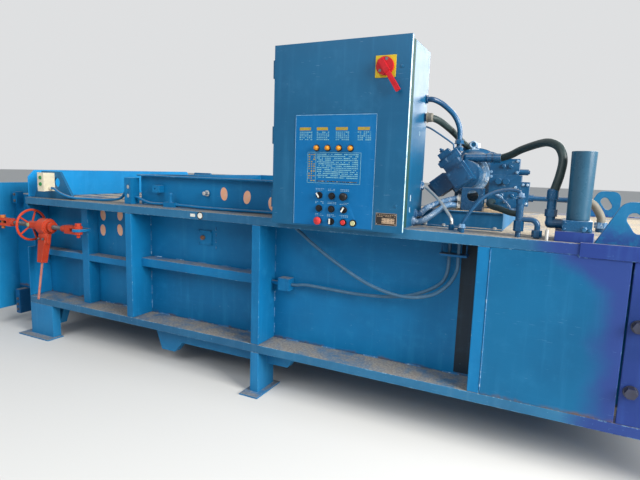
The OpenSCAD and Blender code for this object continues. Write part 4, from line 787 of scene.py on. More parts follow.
class ShapeTree:
    """A Geometry Nodes tree with named inputs that turns a base mesh into a finished mesh."""

    def __init__(self, name: str, **inputs: str) -> None:
        """Makes the tree with its named inputs, and one more for its material.

        Args:
            name: The tree's name.
            **inputs: Name of each input to its kind, such as Float, Int or Vector.
        """
        self.tree = bpy.data.node_groups.new(name, "GeometryNodeTree")
        face = self.tree.interface
        face.new_socket(name="Geometry", in_out="INPUT", socket_type="NodeSocketGeometry")
        face.new_socket(name="Geometry", in_out="OUTPUT", socket_type="NodeSocketGeometry")
        self.keys = {}
        for title, kind in {**inputs, "Material": "Material"}.items():
            socket = face.new_socket(name=title, in_out="INPUT", socket_type=f"NodeSocket{kind}")
            self.keys[title] = socket.identifier
        self.build = TreeBuilder(self.tree)
        self.given = self.build.add("NodeGroupInput").outputs

    def close(self, geometry: Socket) -> "ShapeTree":
        """Ends the tree with real geometry and its material.

        Args:
            geometry: The geometry to finish.

        Returns:
            The tree itself.
        """
        real = self.build.out("GeometryNodeRealizeInstances", {0: geometry})
        coated = self.build.out(
            "GeometryNodeSetMaterial", {"Geometry": real, "Material": self.given["Material"]}
        )
        self.build.add("NodeGroupOutput", {0: coated})
        return self

    def run(self, name: str, base: bpy.types.Mesh, finish: Finish, **values: Any) -> bpy.types.Mesh:
        """Grows the tree over a base mesh and turns the result into a plain mesh.

        Args:
            name: The name of the result.
            base: The mesh that the tree reads.
            finish: The finish of the result.
            **values: Name of each input to its value.

        Returns:
            The finished mesh.
        """
        work = placed(name + "_work", base)
        grown = work.modifiers.new("grow", "NODES")
        grown.node_group = self.tree
        for title, value in {**values, "Material": finish.material()}.items():
            grown[self.keys[title]] = value
        return baked(work)


def paths(routes: Iterable[Sequence[Point]]) -> bpy.types.Mesh:
    """Makes open chains of edges.

    Args:
        routes: The points of each chain.

    Returns:
        The mesh.
    """
    points: list[Point] = []
    edges: list[tuple[int, int]] = []
    for route in routes:
        first = len(points)
        points.extend(route)
        edges.extend((first + i, first + i + 1) for i in range(len(route) - 1))
    return flat_mesh("paths", points, edges)


def panels(places: Iterable[Level], lift: float) -> bpy.types.Mesh:
    """Makes level rectangles.

    Args:
        places: Lowest and highest X, lowest and highest Y, and Z of each rectangle.
        lift: How far above its Z each one lies.

    Returns:
        The mesh.
    """
    points: list[Point] = []
    faces: list[tuple[int, int, int, int]] = []
    for x0, x1, y0, y1, ground in places:
        first = len(points)
        z = ground + lift
        points.extend([(x0, y0, z), (x1, y0, z), (x1, y1, z), (x0, y1, z)])
        faces.append((first, first + 1, first + 2, first + 3))
    return flat_mesh("panels", points, faces=faces)


def fastener_tree() -> ShapeTree:
    """Heads with a chamfer and a washer, one on each point.

    Returns:
        The tree.
    """
    shape = ShapeTree("fasteners", Across="Float", Height="Float", Sides="Int", Washer="Float",
                      Turn="Vector")
    build, given = shape.build, shape.given
    sides = given["Sides"]
    radius = build.times(given["Across"], 0.5)
    tall = build.times(given["Height"], 0.8)
    head = build.out("GeometryNodeMeshCylinder", {"Vertices": sides, "Radius": radius, "Depth": tall})
    crown = build.out("GeometryNodeMeshCone", {
        "Vertices": sides, "Radius Top": build.times(radius, 0.78), "Radius Bottom": radius,
        "Depth": build.times(given["Height"], 0.2),
    })
    washer = build.out("GeometryNodeMeshCylinder", {
        "Vertices": 16, "Radius": given["Washer"], "Depth": 0.003,
    })
    joined = build.add("GeometryNodeJoinGeometry")
    for part in (build.raised(head, build.times(tall, 0.5)), build.raised(crown, tall), washer):
        build.tree.links.new(part, joined.inputs[0])
    return shape.close(build.out("GeometryNodeInstanceOnPoints", {
        "Points": given["Geometry"], "Instance": joined.outputs[0],
        "Rotation": build.out("FunctionNodeEulerToRotation", {0: given["Turn"]}),
    }))


def bead_tree() -> ShapeTree:
    """Beads of weld laid one after the other along each path.

    Returns:
        The tree.
    """
    shape = ShapeTree("weld_beads", Pitch="Float", Width="Float", Seed="Int")
    build, given = shape.build, shape.given
    curve = build.out("GeometryNodeMeshToCurve", {0: given["Geometry"]})
    even = build.out("GeometryNodeResampleCurve", {"Curve": curve, "Length": given["Pitch"]}, mode="LENGTH")
    bead = build.out("GeometryNodeMeshIcoSphere", {"Radius": 1.0, "Subdivisions": 2})
    size = build.sizes((0.75, 0.75, 0.75), (1.15, 1.15, 1.15), given["Seed"])
    laid = build.out("GeometryNodeInstanceOnPoints", {
        "Points": even, "Instance": bead, "Scale": build.scaled(size, given["Width"]),
    })
    return shape.close(build.out("GeometryNodeSetShadeSmooth", {"Geometry": laid}))


def grain_tree() -> ShapeTree:
    """Loose grit scattered over level faces, in drifts.

    Returns:
        The tree.
    """
    shape = ShapeTree("loose_grit", Density="Float", Size="Float", Seed="Int")
    build, given = shape.build, shape.given
    place = build.out("GeometryNodeInputPosition")
    drifts = build.ramp(build.noise(place, 5.0, 4.0, 0.6), 0.48, 0.68)
    spread = build.out("GeometryNodeDistributePointsOnFaces", {
        "Mesh": given["Geometry"], "Density": build.times(given["Density"], drifts),
        "Seed": given["Seed"],
    })
    grain = build.out("GeometryNodeMeshIcoSphere", {"Radius": 1.0, "Subdivisions": 1})
    size = build.sizes((0.3, 0.3, 0.2), (1.0, 1.0, 0.5), given["Seed"])
    return shape.close(build.out("GeometryNodeInstanceOnPoints", {
        "Points": spread, "Instance": grain, "Scale": build.scaled(size, given["Size"]),
    }))


def print_tree() -> ShapeTree:
    """Rows of short raised dashes on an upright panel, with ragged ends and gaps.

    Returns:
        The tree.
    """
    shape = ShapeTree("print_rows", Width="Float", Height="Float", Columns="Int", Rows="Int",
                      Stroke="Float", Share="Float", Place="Vector", Seed="Int")
    build, given = shape.build, shape.given
    grid = build.out("GeometryNodeMeshGrid", {
        "Size X": given["Width"], "Size Y": given["Height"], "Vertices X": given["Columns"],
        "Vertices Y": given["Rows"],
    })
    keep = build.kept(given["Share"], given["Seed"])
    points = build.out("GeometryNodeMeshToPoints", {"Mesh": grid, "Selection": keep})
    step = build.math("DIVIDE", given["Width"], given["Columns"])
    dash = build.out("ShaderNodeCombineXYZ", {0: step, 1: given["Stroke"], 2: 0.0004})
    printed = build.out("GeometryNodeInstanceOnPoints", {
        "Points": points, "Instance": build.out("GeometryNodeMeshCube", {"Size": dash}),
        "Scale": build.sizes((0.55, 0.85, 1.0), (1.05, 1.1, 1.0), given["Seed"]),
    })
    return shape.close(build.out("GeometryNodeTransform", {
        "Geometry": printed, "Translation": given["Place"], "Rotation": (math.pi / 2, 0.0, 0.0),
    }))


def thread_tree() -> ShapeTree:
    """A screw thread around a bar along X.

    Returns:
        The tree.
    """
    shape = ShapeTree("screw_thread", Radius="Float", Turns="Float", Length="Float", Wire="Float",
                      Place="Vector")
    build, given = shape.build, shape.given
    spiral = build.out("GeometryNodeCurveSpiral", {
        "Resolution": 20, "Rotations": given["Turns"], "Start Radius": given["Radius"],
        "End Radius": given["Radius"], "Height": given["Length"],
    })
    wire = build.out("GeometryNodeCurvePrimitiveCircle", {"Resolution": 5, "Radius": given["Wire"]})
    ridge = build.out("GeometryNodeCurveToMesh", {
        "Curve": spiral, "Profile Curve": wire, "Fill Caps": True,
    })
    return shape.close(build.out("GeometryNodeTransform", {
        "Geometry": ridge, "Rotation": (0.0, math.pi / 2, 0.0), "Translation": given["Place"],
    }))


def hose_tree() -> ShapeTree:
    """A round line along a path, smooth or with ribs around it.

    Returns:
        The tree.
    """
    shape = ShapeTree("round_line", Radius="Float", Pitch="Float", Depth="Float", Sides="Int",
                      Step="Float")
    build, given = shape.build, shape.given
    curve = build.out("GeometryNodeMeshToCurve", {0: given["Geometry"]})
    even = build.out("GeometryNodeResampleCurve", {"Curve": curve, "Length": given["Step"]}, mode="LENGTH")
    along = build.add("GeometryNodeSplineParameter").outputs["Length"]
    turns = build.math("DIVIDE", along, given["Pitch"])
    wave = build.math("SINE", build.times(turns, math.tau))
    dent = build.times(build.minus(wave, 1.0), build.times(given["Depth"], 0.5))
    ring = build.out("GeometryNodeCurvePrimitiveCircle", {"Resolution": given["Sides"], "Radius": 1.0})
    skin = build.out("GeometryNodeCurveToMesh", {
        "Curve": even, "Profile Curve": ring, "Scale": build.plus(given["Radius"], dent),
        "Fill Caps": True,
    })
    return shape.close(build.out("GeometryNodeSetShadeSmooth", {"Geometry": skin}))


@dataclass(frozen=True)
class Heads:
    """Equal heads of screws, bolts, plugs or nuts on a CAD node, with their sizes in metres."""

    name: str
    node: str
    points: Sequence[Point]
    finish: Finish
    across: float
    height: float
    sides: int = 6
    axis: Axis = Axis.FRONT


@dataclass(frozen=True)
class Dashes:
    """Rows of printed dashes between two corners, with the number of dashes and of rows."""

    name: str
    low: Pair
    high: Pair
    grid: tuple[int, int]
    finish: Finish
    share: float
    stroke: float
    seed: int
    y: float = OVERLAY_Y


@dataclass(frozen=True)
class Line:
    """A hose, conduit or cable, with its diameter, and the pitch and depth of its ribs."""

    name: str
    node: str
    diameter: float
    finish: Finish
    route: Sequence[Point]
    ribs: Pair = (0.01, 0.0)
    sides: int = 20


@dataclass
class Workshop:
    """The node trees, made once, with one call for each kind of repeated piece."""

    heads: ShapeTree = field(default_factory=fastener_tree)
    welds: ShapeTree = field(default_factory=bead_tree)
    grit: ShapeTree = field(default_factory=grain_tree)
    print: ShapeTree = field(default_factory=print_tree)
    thread: ShapeTree = field(default_factory=thread_tree)
    hose: ShapeTree = field(default_factory=hose_tree)
    grit_lift: float = 0.0003
    washer_share: float = 0.62
    round_from: int = 9
    plain_step: float = 0.012
    steps_a_rib: int = 6

    def fasten(self, row: Heads) -> None:
        """Sets the heads of a row, with round ones shaded smooth.

        Args:
            row: The heads.
        """
        mesh = self.heads.run(
            row.name, flat_mesh("dots", row.points), row.finish, Across=row.across, Height=row.height,
            Sides=row.sides, Washer=row.across * self.washer_share, Turn=row.axis.value,
        )
        if row.sides >= self.round_from:
            smooth(mesh)
        show(row.name, mesh, row.node)

    def weld(self, name: str, node: str, routes: Sequence[Sequence[Point]], width: float, pitch: float,
             seed: int = 3) -> None:
        """Lays painted weld along paths on a node.

        Args:
            name: The piece's name.
            node: The CAD node that carries it.
            routes: The points of each path.
            width: Half the width of a bead.
            pitch: Distance from bead to bead.
            seed: Seed of the beads' sizes.
        """
        mesh = self.welds.run(name, paths(routes), WELD, Pitch=pitch, Width=width, Seed=seed)
        show(name, mesh, node)

    def scatter(self, name: str, node: str, places: Sequence[Level], density: float, size: float,
                seed: int) -> None:
        """Scatters grit over level places on a node.

        Args:
            name: The piece's name.
            node: The CAD node that carries it.
            places: Lowest and highest X, lowest and highest Y, and Z of each place.
            density: Grains per square metre.
            size: Radius of the largest grain.
            seed: Seed of the places and sizes.
        """
        ground = panels(places, self.grit_lift)
        mesh = self.grit.run(name, ground, GRIT, Density=density, Size=size, Seed=seed)
        show(name, mesh, node)

    def print_rows(self, rows: Dashes) -> None:
        """Prints rows of dashes on the cabinet door.

        Args:
            rows: The dashes.
        """
        (x0, z0), (x1, z1) = rows.low, rows.high
        columns, count = rows.grid
        mesh = self.print.run(
            rows.name, flat_mesh("dots", [(0.0, 0.0, 0.0)]), rows.finish, Width=x1 - x0,
            Height=z1 - z0, Columns=columns, Rows=count, Stroke=rows.stroke, Share=rows.share,
            Seed=rows.seed, Place=((x0 + x1) / 2, rows.y, (z0 + z1) / 2),
        )
        show(rows.name, mesh, "door_plates")

    def lay(self, line: Line) -> None:
        """Lays one hose, conduit or cable along its route, in place of a CAD node's line.

        Args:
            line: The line.
        """
        pitch, depth = line.ribs
        mesh = self.hose.run(
            line.name, paths([curved(line.route)]), line.finish, Radius=line.diameter / 2,
            Pitch=pitch, Depth=depth, Sides=line.sides,
            Step=pitch / self.steps_a_rib if depth else self.plain_step,
        )
        show(line.name, mesh, line.node, stands_for_it=True)


def curved(route: Sequence[Point], steps: int = 8) -> list[Point]:
    """Smooth curve through a route's points, straight on its first and last stretch.

    Args:
        route: The points.
        steps: Number of parts between two points.

    Returns:
        The points of the curve.
    """
    knots = [Vector(point) for point in route]
    points = [knots[0]]
    for i in range(1, len(knots) - 2):
        a, b, c, d = knots[i - 1:i + 3]
        for k in range(steps):
            u = k / steps
            points.append(0.5 * (
                2 * b + (c - a) * u + (2 * a - 5 * b + 4 * c - d) * u * u
                + (3 * b - a - 3 * c + d) * u * u * u
            ))
    points.extend(knots[-2:])
    return [tuple(point) for point in points]


def slab(name: str, outline: Sequence[Point], depth: Point, finish: Finish, node: str) -> None:
    """Adds a thin flat piece from its outline, with its faces pointing outwards.

    Args:
        name: The piece's name.
        outline: The points of its back, counterclockwise as seen from its front.
        depth: From its back to its front.
        finish: Its finish.
        node: The CAD node that carries it.
    """
    count = len(outline)
    front = [tuple(a + d for a, d in zip(point, depth)) for point in outline]
    faces = [tuple(reversed(range(count))), tuple(range(count, 2 * count))]
    for i in range(count):
        j = (i + 1) % count
        faces.append((i, j, count + j, count + i))
    mesh = flat_mesh(name, [*outline, *front], faces=faces)
    mesh.materials.append(finish.material())
    show(name, mesh, node)


def label(name: str, outline: Sequence[Point], thick: float, finish: Finish, node: str) -> None:
    """Adds a thin flat piece that faces the operator, by its outline and its thickness."""
    slab(name, outline, (0.0, -thick, 0.0), finish, node)


def oval(centre: Pair, size: Pair, y: float, lean: float = 0.0, count: int = 28) -> list[Point]:
    """Points of an upright oval seen from the operator's side.

    Args:
        centre: X and Z of the middle.
        size: Width and height.
        y: The plane it lies in.
        lean: Its turn in radians.
        count: Number of points.

    Returns:
        The points, in order.
    """
    points = []
    for k in range(count):
        a = math.tau * k / count
        u, v = size[0] / 2 * math.cos(a), size[1] / 2 * math.sin(a)
        points.append((
            centre[0] + u * math.cos(lean) - v * math.sin(lean), y,
            centre[1] + u * math.sin(lean) + v * math.cos(lean),
        ))
    return points


def upright(x0: float, z0: float, x1: float, z1: float, y: float) -> list[Point]:
    """Corners of an upright rectangle that faces the operator."""
    return [(x0, y, z0), (x1, y, z0), (x1, y, z1), (x0, y, z1)]


def grid(xs: Sequence[float], y: float, zs: Sequence[float]) -> list[Point]:
    """Points of an upright grid, row by row from the first height."""
    return [(x, y, z) for z in zs for x in xs]


def motor_ring(count: int, radius: float, y: float) -> list[Point]:
    """Points around the pump motor's axis, the first half a step past level.

    Args:
        count: Number of points.
        radius: Their distance from the axis.
        y: The plane they lie in.

    Returns:
        The points, in order.
    """
    turns = [math.pi / count + k * math.tau / count for k in range(count)]
    return [(MOTOR_X + radius * math.cos(a), y, MOTOR_Z + radius * math.sin(a)) for a in turns]


def stitches(x: float, y: float, z0: float, z1: float, length: float = 0.055,
             gap: float = 0.045) -> list[list[Point]]:
    """Short upright runs of weld with gaps between them.

    Args:
        x: Their place along the machine.
        y: Their place across it.
        z0: Lowest point.
        z1: Highest point.
        length: Length of one run.
        gap: Gap to the next.

    Returns:
        The two points of each run.
    """
    runs = []
    z = z0
    while z + length < z1:
        runs.append([(x, y, z), (x, y, z + length)])
        z += length + gap
    return runs


@dataclass
class SubAssembly:
    """A group of CAD nodes that share a look, and the pieces added to them."""

    tools: Workshop
    finishes: dict[str, Finish] = field(default_factory=dict)
    patches: dict[str, tuple[Patch, ...]] = field(default_factory=dict)
    heads: tuple[Heads, ...] = ()
    radius: float = 0.003

    def dress(self) -> None:
        """Shows every node of the group with its own finish, then adds the details and heads."""
        for node, finish in self.finishes.items():
            eased(node, finish, self.radius, self.patches.get(node, ()))
        self.detail()
        for row in self.heads:
            self.tools.fasten(row)

    def detail(self) -> None:
        """Adds the group's own small pieces, where it has some."""


@dataclass
class PressBody(SubAssembly):
    """Chamber, flanges, ribs, hopper, header, legs and rear end."""

    # The header plate takes the lighter copy of the blue, which is painted light.
    finishes: dict[str, Finish] = field(default_factory=lambda: {
        "floor_plate": DEEP_BLUE, "side_walls": WALL_BLUE, "deck_plates": DECK_BLUE,
        "flanges": FLANGE_BLUE, "main_ribs": BLUE, "wall_stiffeners": BLUE,
        "end_plates": BLUE, "undercarriage": LEG_BLUE, "hopper_walls": BLUE,
        "header_plate": HEADER_LIT_BLUE, "lifting_lugs": LUG_BLUE, "tank_panels": TANK_BLUE,
        "rear_frame": NAVY, "frame_bolts": BOLT_BLACK, "wall_boxes": BLUE,
    })
    patches: dict[str, tuple[Patch, ...]] = field(default_factory=lambda: {
        "tank_panels": (Patch((3.60, -0.01, 0.99), (4.51, 0.18, 1.06), NAVY),),
        "wall_boxes": (
            Patch((1.515, 0.145, 0.845), (1.552, 0.1668, 0.885), RUSTY_STEEL),
            Patch((-0.345, 0.09, 0.08), (-0.285, 0.195, 0.285), DEEP_BLUE),
            Patch((1.54, 0.13, 1.12), (1.59, 0.176, 1.18), ZINC),
        ),
    })
    heads: tuple[Heads, ...] = (
        Heads("box_screws", "wall_boxes", grid((0.921, 0.965), 0.100, (1.058, 1.217))
              + grid((2.133, 2.192), 0.115, (0.622, 0.678)), BLUE, 0.008, 0.003, 12),
        Heads("box_plugs", "wall_boxes", grid((0.943,), 0.106, (1.105, 1.165)), ZINC, 0.026, 0.003, 20),
        Heads("plate_bolts", "wall_boxes", grid((1.499, 1.590), 0.167, (0.828, 0.904)), BLUE,
              0.012, 0.005),
        Heads("guide_bolts", "wall_boxes", grid((-0.315,), 0.1005, (0.118, 0.160, 0.205))
              + grid((-0.315,), 0.1205, (1.000, 1.050)), DARK_STEEL, 0.020, 0.010),
    )
    radius: float = 0.004
    rib_sides: tuple[float, ...] = (1.020, 1.075, 2.015, 2.070, 3.250, 3.305)
    rib_heights: tuple[Pair, ...] = ((FLOOR_Z + 0.03, 0.62), (0.71, 0.99))
    # Height, depth in the wall, length and starts of each row of level weld runs.
    seams: tuple[tuple[float, float, float, tuple[float, ...]], ...] = (
        (DECK_Z + 0.002, 0.001, 0.07, (1.02, 1.22, 1.42, 1.62, 1.80, 1.98)),
        (0.698, 0.002, 0.06, (1.11, 1.30, 1.49, 1.68, 1.87)),
        (0.636, 0.002, 0.06, (1.11, 1.30, 1.49, 1.68, 1.87)),
        (FLOOR_Z + 0.002, 0.002, 0.08,
         (0.62, 0.80, 1.15, 1.40, 1.65, 1.88, 2.16, 2.40, 2.66, 2.90, 3.10)),
    )
    tank_seam: tuple[Point, Point] = ((3.3075, -0.0003, FLOOR_Z + 0.02), (3.3075, -0.0003, 0.99))
    oval_size: Pair = (0.052, 0.082)
    # X, Z and lean of each plain oval on the wall and the hopper.
    ovals: tuple[Point, ...] = (
        (0.612, 0.946, 0.15), (0.783, 0.958, -0.10), (0.607, 0.836, 0.05), (0.779, 0.850, 0.20),
        (1.689, 1.152, 0.10), (1.861, 1.140, -0.15), (2.040, 1.112, 0.10),
    )
    disc: Pair = (1.645, 1.026)
    dusty_flanges: tuple[Level, ...] = (
        (1.09, 2.00, 0.02, 0.17, FLOOR_Z), (2.08, 3.24, 0.02, 0.17, FLOOR_Z),
        (0.03, 1.00, 0.02, 0.17, FLOOR_Z), (2.93, 3.55, 0.02, 0.22, DECK_Z),
        (0.48, 2.15, 0.02, 0.12, DECK_Z),
    )
    dusty_bars: tuple[Level, ...] = ((1.09, 2.00, 0.09, 0.17, 0.696), (0.02, 1.00, 0.09, 0.17, 0.660))

    def welds(self) -> None:
        """Lays the weld runs along ribs, bars and the hopper's foot."""
        runs: list[list[Point]] = []
        for x in self.rib_sides:
            for z0, z1 in self.rib_heights:
                runs.extend(stitches(x, WALL_Y - 0.001, z0, z1))
        runs.extend(stitches(1.628, WALL_Y, 0.80, 0.97, length=0.018, gap=0.022))
        self.tools.weld("rib_welds", "main_ribs", runs, width=0.0042, pitch=0.0055)
        along = [
            [(x, WALL_Y - sunk, level), (x + length, WALL_Y - sunk, level)]
            for level, sunk, length, starts in self.seams for x in starts
        ]
        self.tools.weld("seam_welds", "side_walls", along, width=0.004, pitch=0.005, seed=9)
        self.tools.weld("tank_weld", "tank_panels", [self.tank_seam], width=0.0028, pitch=0.005, seed=4)

    def detail(self) -> None:
        """Adds welds, plain ovals, plain labels, the painted shade strip in the last bay and grit."""
        self.welds()
        for index, (x, z, lean) in enumerate(self.ovals):
            label(f"oval_{index + 1}", oval((x, z), self.oval_size, WALL_Y, lean), 0.0008, PEACH,
                  "hopper_walls" if z > DECK_Z else "side_walls")
        label("round_label_rim", oval(self.disc, (0.046, 0.046), 0.0), 0.0006, PLATE_DARK, "flanges")
        label("round_label", oval(self.disc, (0.034, 0.034), -0.0006), 0.0005, STICKER_WHITE, "flanges")
        label("small_label", upright(1.570, 1.016, 1.607, 1.034, 0.0), 0.0006, STICKER_WHITE, "flanges")
        # Painted shade: a dark sheet on the wall beside the last rib, where its shadow falls.
        label("corner_shade_strip", upright(3.152, FLOOR_Z + 0.012, 3.2495, 1.030, WALL_Y), 0.0008,
              CORNER_SHADE, "side_walls")
        self.tools.scatter("flange_grit", "flanges", self.dusty_flanges, 2600.0, 0.0020, 11)
        self.tools.scatter("bar_grit", "wall_stiffeners", self.dusty_bars, 3200.0, 0.0018, 12)


@dataclass
class DischargeDoor(SubAssembly):
    """Door panel, its bars and its hinges."""

    # The door's panel and bars take the lighter copy of the blue, which is painted light.
    finishes: dict[str, Finish] = field(default_factory=lambda: {
        "door_panel": DOOR_LIT_BLUE, "door_frame": DOOR_LIT_BLUE, "door_hinge_pins": FLANGE_BLUE,
    })
    radius: float = 0.004
    face_x: float = -0.4165
    weld_heights: tuple[float, ...] = (0.170, 0.240, 0.457, 0.527, 0.744, 0.814, 1.031, 1.101)
    weld_starts: tuple[float, ...] = (0.10, 0.35, 0.60, 0.85, 1.10)
    weld_length: float = 0.08

    def detail(self) -> None:
        """Lays weld runs where the door's bars meet its skin."""
        runs = [
            [(self.face_x, y, z), (self.face_x, y + self.weld_length, z)]
            for z in self.weld_heights for y in self.weld_starts
        ]
        self.tools.weld("door_welds", "door_frame", runs, width=0.004, pitch=0.0055, seed=6)


@dataclass
class DoorLock(SubAssembly):
    """Ratchet turnbuckle with its handwheel, lever and forks."""

    finishes: dict[str, Finish] = field(default_factory=lambda: {
        "anchor_yoke": LOCK_RED, "lock_barrel": LOCK_RED, "handwheel": LOCK_RED,
        "ratchet_lever": LOCK_RED, "lever_rod": ROD_PINK, "door_yoke": LOCK_RED,
        "door_yoke_pin": PIN_ORANGE,
    })
    patches: dict[str, tuple[Patch, ...]] = field(default_factory=lambda: {
        "anchor_yoke": (Patch((0.20, -0.007, 0.828), (0.3945, 0.027, 0.862), DARK_STEEL),),
        "door_yoke": (Patch((-0.1515, -0.007, 0.828), (0.13, 0.027, 0.862), DARK_STEEL),),
    })
    heads: tuple[Heads, ...] = (
        Heads("lever_bolts", "ratchet_lever", grid((0.186, 0.232), -0.0345, (0.758,)), DARK_STEEL,
              0.016, 0.008),
    )
    radius: float = 0.0025
    screw_y: float = 0.010
    screw_z: float = 0.845
    thread_radius: float = 0.0148
    thread_pitch: float = 0.006
    thread_wire: float = 0.0020
    # Name, node, left end and length of each thread.
    threads: tuple[tuple[str, str, float, float], ...] = (
        ("anchor_thread", "anchor_yoke", 0.292, 0.100), ("door_thread", "door_yoke", -0.150, 0.138),
    )

    def detail(self) -> None:
        """Cuts the threads and adds the hub's tag."""
        for name, node, x0, length in self.threads:
            mesh = self.tools.thread.run(
                name, flat_mesh("dots", [(0.0, 0.0, 0.0)]), DARK_STEEL, Radius=self.thread_radius,
                Turns=length / self.thread_pitch, Length=length, Wire=self.thread_wire,
                Place=(x0, self.screw_y, self.screw_z),
            )
            smooth(mesh, 50.0)
            show(name, mesh, node)
        label("hub_tag", oval((0.046, 0.850), (0.030, 0.034), -0.0178, 0.3), 0.0025, CREAM, "handwheel")


@dataclass
class PressRam(SubAssembly):
    """Platen with its bolted wear strips, wear shoes, rod and cylinder."""

    finishes: dict[str, Finish] = field(default_factory=lambda: {
        "platen": RAM_STEEL, "platen_shoes": SHOE_STEEL, "piston_rod": CHROME,
        "ram_cylinder": UNIT_BLUE, "cylinder_clevis": DEEP_BLUE,
    })
    heads: tuple[Heads, ...] = (
        Heads("platen_bolts", "platen", [
            (2.143, y, z) for y in (0.30, 0.60, 0.91, 1.22, 1.52) for z in (0.38, 0.93)
        ], DARK_STEEL, 0.022, 0.007, axis=Axis.RIGHT),
    )


SELECTOR_MARK = Patch((2.3, -0.079, 1.0), (2.8, -0.0763, 1.3), STICKER_WHITE)


@dataclass
class ControlCabinet(SubAssembly):
    """Cabinet with its door, panel overlay, main switch and operators."""

    finishes: dict[str, Finish] = field(default_factory=lambda: {
        "cabinet_box": CABINET_BLUE, "cabinet_backplate": WHITE_PLATE,
        "cabinet_door": CABINET_BLUE, "door_plates": OVERLAY_BLUE,
        "disconnect_handle": SWITCH_RED, "pilot_lights": AMBER, "selector_upper": BLACK,
        "button_upper": BLACK, "mushroom_upper": BLACK, "button_left": BLACK,
        "button_middle": BLACK, "selector_middle": BLACK, "stop_mushroom": BUTTON_RED,
        "selector_lower": BLACK, "red_button": BUTTON_RED, "cream_button": CREAM,
        "station_box": BEIGE, "station_button_upper": GREEN, "station_button_lower": GREEN,
    })
    patches: dict[str, tuple[Patch, ...]] = field(default_factory=lambda: {
        "door_plates": (
            Patch((2.40, -0.0615, 1.03), (2.72, -0.0523, 1.23), BLACK),
            Patch((2.73, -0.054, 1.75), (2.84, -0.049, 1.86), YELLOW),
            Patch((2.77, -0.053, 1.06), (2.88, -0.049, 1.125), PLATE_DARK),
        ),
        "pilot_lights": (Patch((2.30, -0.0590, 1.38), (2.76, -0.051, 1.50), BLACK),),
        "selector_upper": (SELECTOR_MARK,), "selector_middle": (SELECTOR_MARK,),
        "selector_lower": (SELECTOR_MARK,),
        "cabinet_backplate": (Patch((2.24, 0.18, 1.05), (2.86, 0.2938, 1.95), DARK_STEEL),),
    })
    heads: tuple[Heads, ...] = (
        Heads("plate_rivets", "door_plates", grid((2.7765, 2.8695), OVERLAY_Y, (1.0710, 1.1180)), ZINC,
              0.004, 0.0015, 10),
        Heads("knob_screws", "disconnect_handle", [(2.793, -0.0690, 1.838), (2.762, -0.0690, 1.786)],
              DARK_STEEL, 0.012, 0.0014, 14),
        Heads("door_buttons", "cabinet_door", [(2.862, DOOR_Y, 1.805), (2.868, DOOR_Y, 1.160)],
              CABINET_BLUE, 0.014, 0.003, 14),
        Heads("station_screws", "station_box", grid((0.201, 0.254), -0.028, (1.111, 1.229)), ZINC,
              0.006, 0.002, 12),
    )
    radius: float = 0.002
    ink: float = 0.0004
    bars: tuple[Pair, ...] = ((2.338, 2.402), (2.436, 2.497), (2.541, 2.605), (2.658, 2.720))
    table: tuple[float, float, float, float] = (2.388, 1.254, 2.681, 1.409)
    table_line: float = 0.0016
    table_split: float = 0.046
    operators: tuple[Pair, ...] = tuple(
        (x, z) for z in (1.192, 1.126, 1.063) for x in (2.463, 2.533, 2.601)
    )
    side_x: float = 2.895
    # Y, Z and size of each scuff on the cabinet's side.
    scuffs: tuple[Point, ...] = ((0.098, 1.196, 0.014), (0.094, 1.137, 0.012), (0.20, 1.52, 0.010))

    def printed(self, name: str, box: tuple[float, float, float, float], finish: Finish) -> None:
        """Lays a flat printed field on the panel, by its left, lower, right and upper side."""
        label(name, upright(*box, OVERLAY_Y), self.ink, finish, "door_plates")

    def lines(self) -> None:
        """Prints the amber bars, the table's lines and the panel's edge lines."""
        for index, (x0, x1) in enumerate(self.bars):
            self.printed(f"bar_{index + 1}", (x0, 1.517, x1, 1.532), PRINT_AMBER)
        left, low, right, high = self.table
        line, split = self.table_line, left + self.table_split
        for name, box in {
            "field_low": (left, low, right, low + line), "field_high": (left, high - line, right, high),
            "field_left": (left, low, left + line, high), "field_right": (right - line, low, right, high),
            "field_split": (split, low, split + line, high),
        }.items():
            self.printed(name, box, PRINT_PALE)
        for name, box in {
            "edge_high": (2.314, 1.5915, 2.754, 1.5935), "edge_left": (2.314, 1.04, 2.3155, 1.5935),
            "edge_right": (2.7525, 1.04, 2.754, 1.5935),
        }.items():
            self.printed(name, box, PRINT_WHITE)

    def dashes(self) -> list[Dashes]:
        """Lists the rows of dashes of the bars, the table, the operators and the small plate.

        Returns:
            The rows.
        """
        left, low, right, high = self.table
        return [
            *(Dashes(f"bar_rows_{index + 1}", (x0 + 0.004, 1.471), (x1 + 0.004, 1.508), (7, 5),
                     PRINT_PALE, 0.88, 0.0036, 20 + index) for index, (x0, x1) in enumerate(self.bars)),
            Dashes("field_rows", (left + 0.058, low + 0.030), (right - 0.018, high - 0.010), (26, 13),
                   PRINT_PALE, 0.84, 0.0042, 41),
            Dashes("field_foot", (left + 0.058, low + 0.010), (right - 0.022, low + 0.0101), (22, 2),
                   PRINT_AMBER, 0.9, 0.0038, 42),
            Dashes("field_side", (left + 0.010, low + 0.012), (left + 0.038, high - 0.012), (3, 12),
                   PRINT_AMBER, 0.72, 0.0060, 43),
            *(Dashes(f"operator_rows_{index + 1}", (x - 0.020, z + 0.027), (x + 0.020, z + 0.034), (5, 2),
                     PRINT_WHITE, 0.8, 0.0028, 50 + index) for index, (x, z) in enumerate(self.operators)),
            Dashes("plate_rows", (2.807, 1.079), (2.861, 1.096), (4, 3), PLATE_DARK, 1.0, 0.0022, 61,
                   OVERLAY_Y - self.ink),
            Dashes("plate_head", (2.780, 1.108), (2.866, 1.115), (9, 2), PLATE_BRASS, 0.8, 0.0024, 62),
        ]

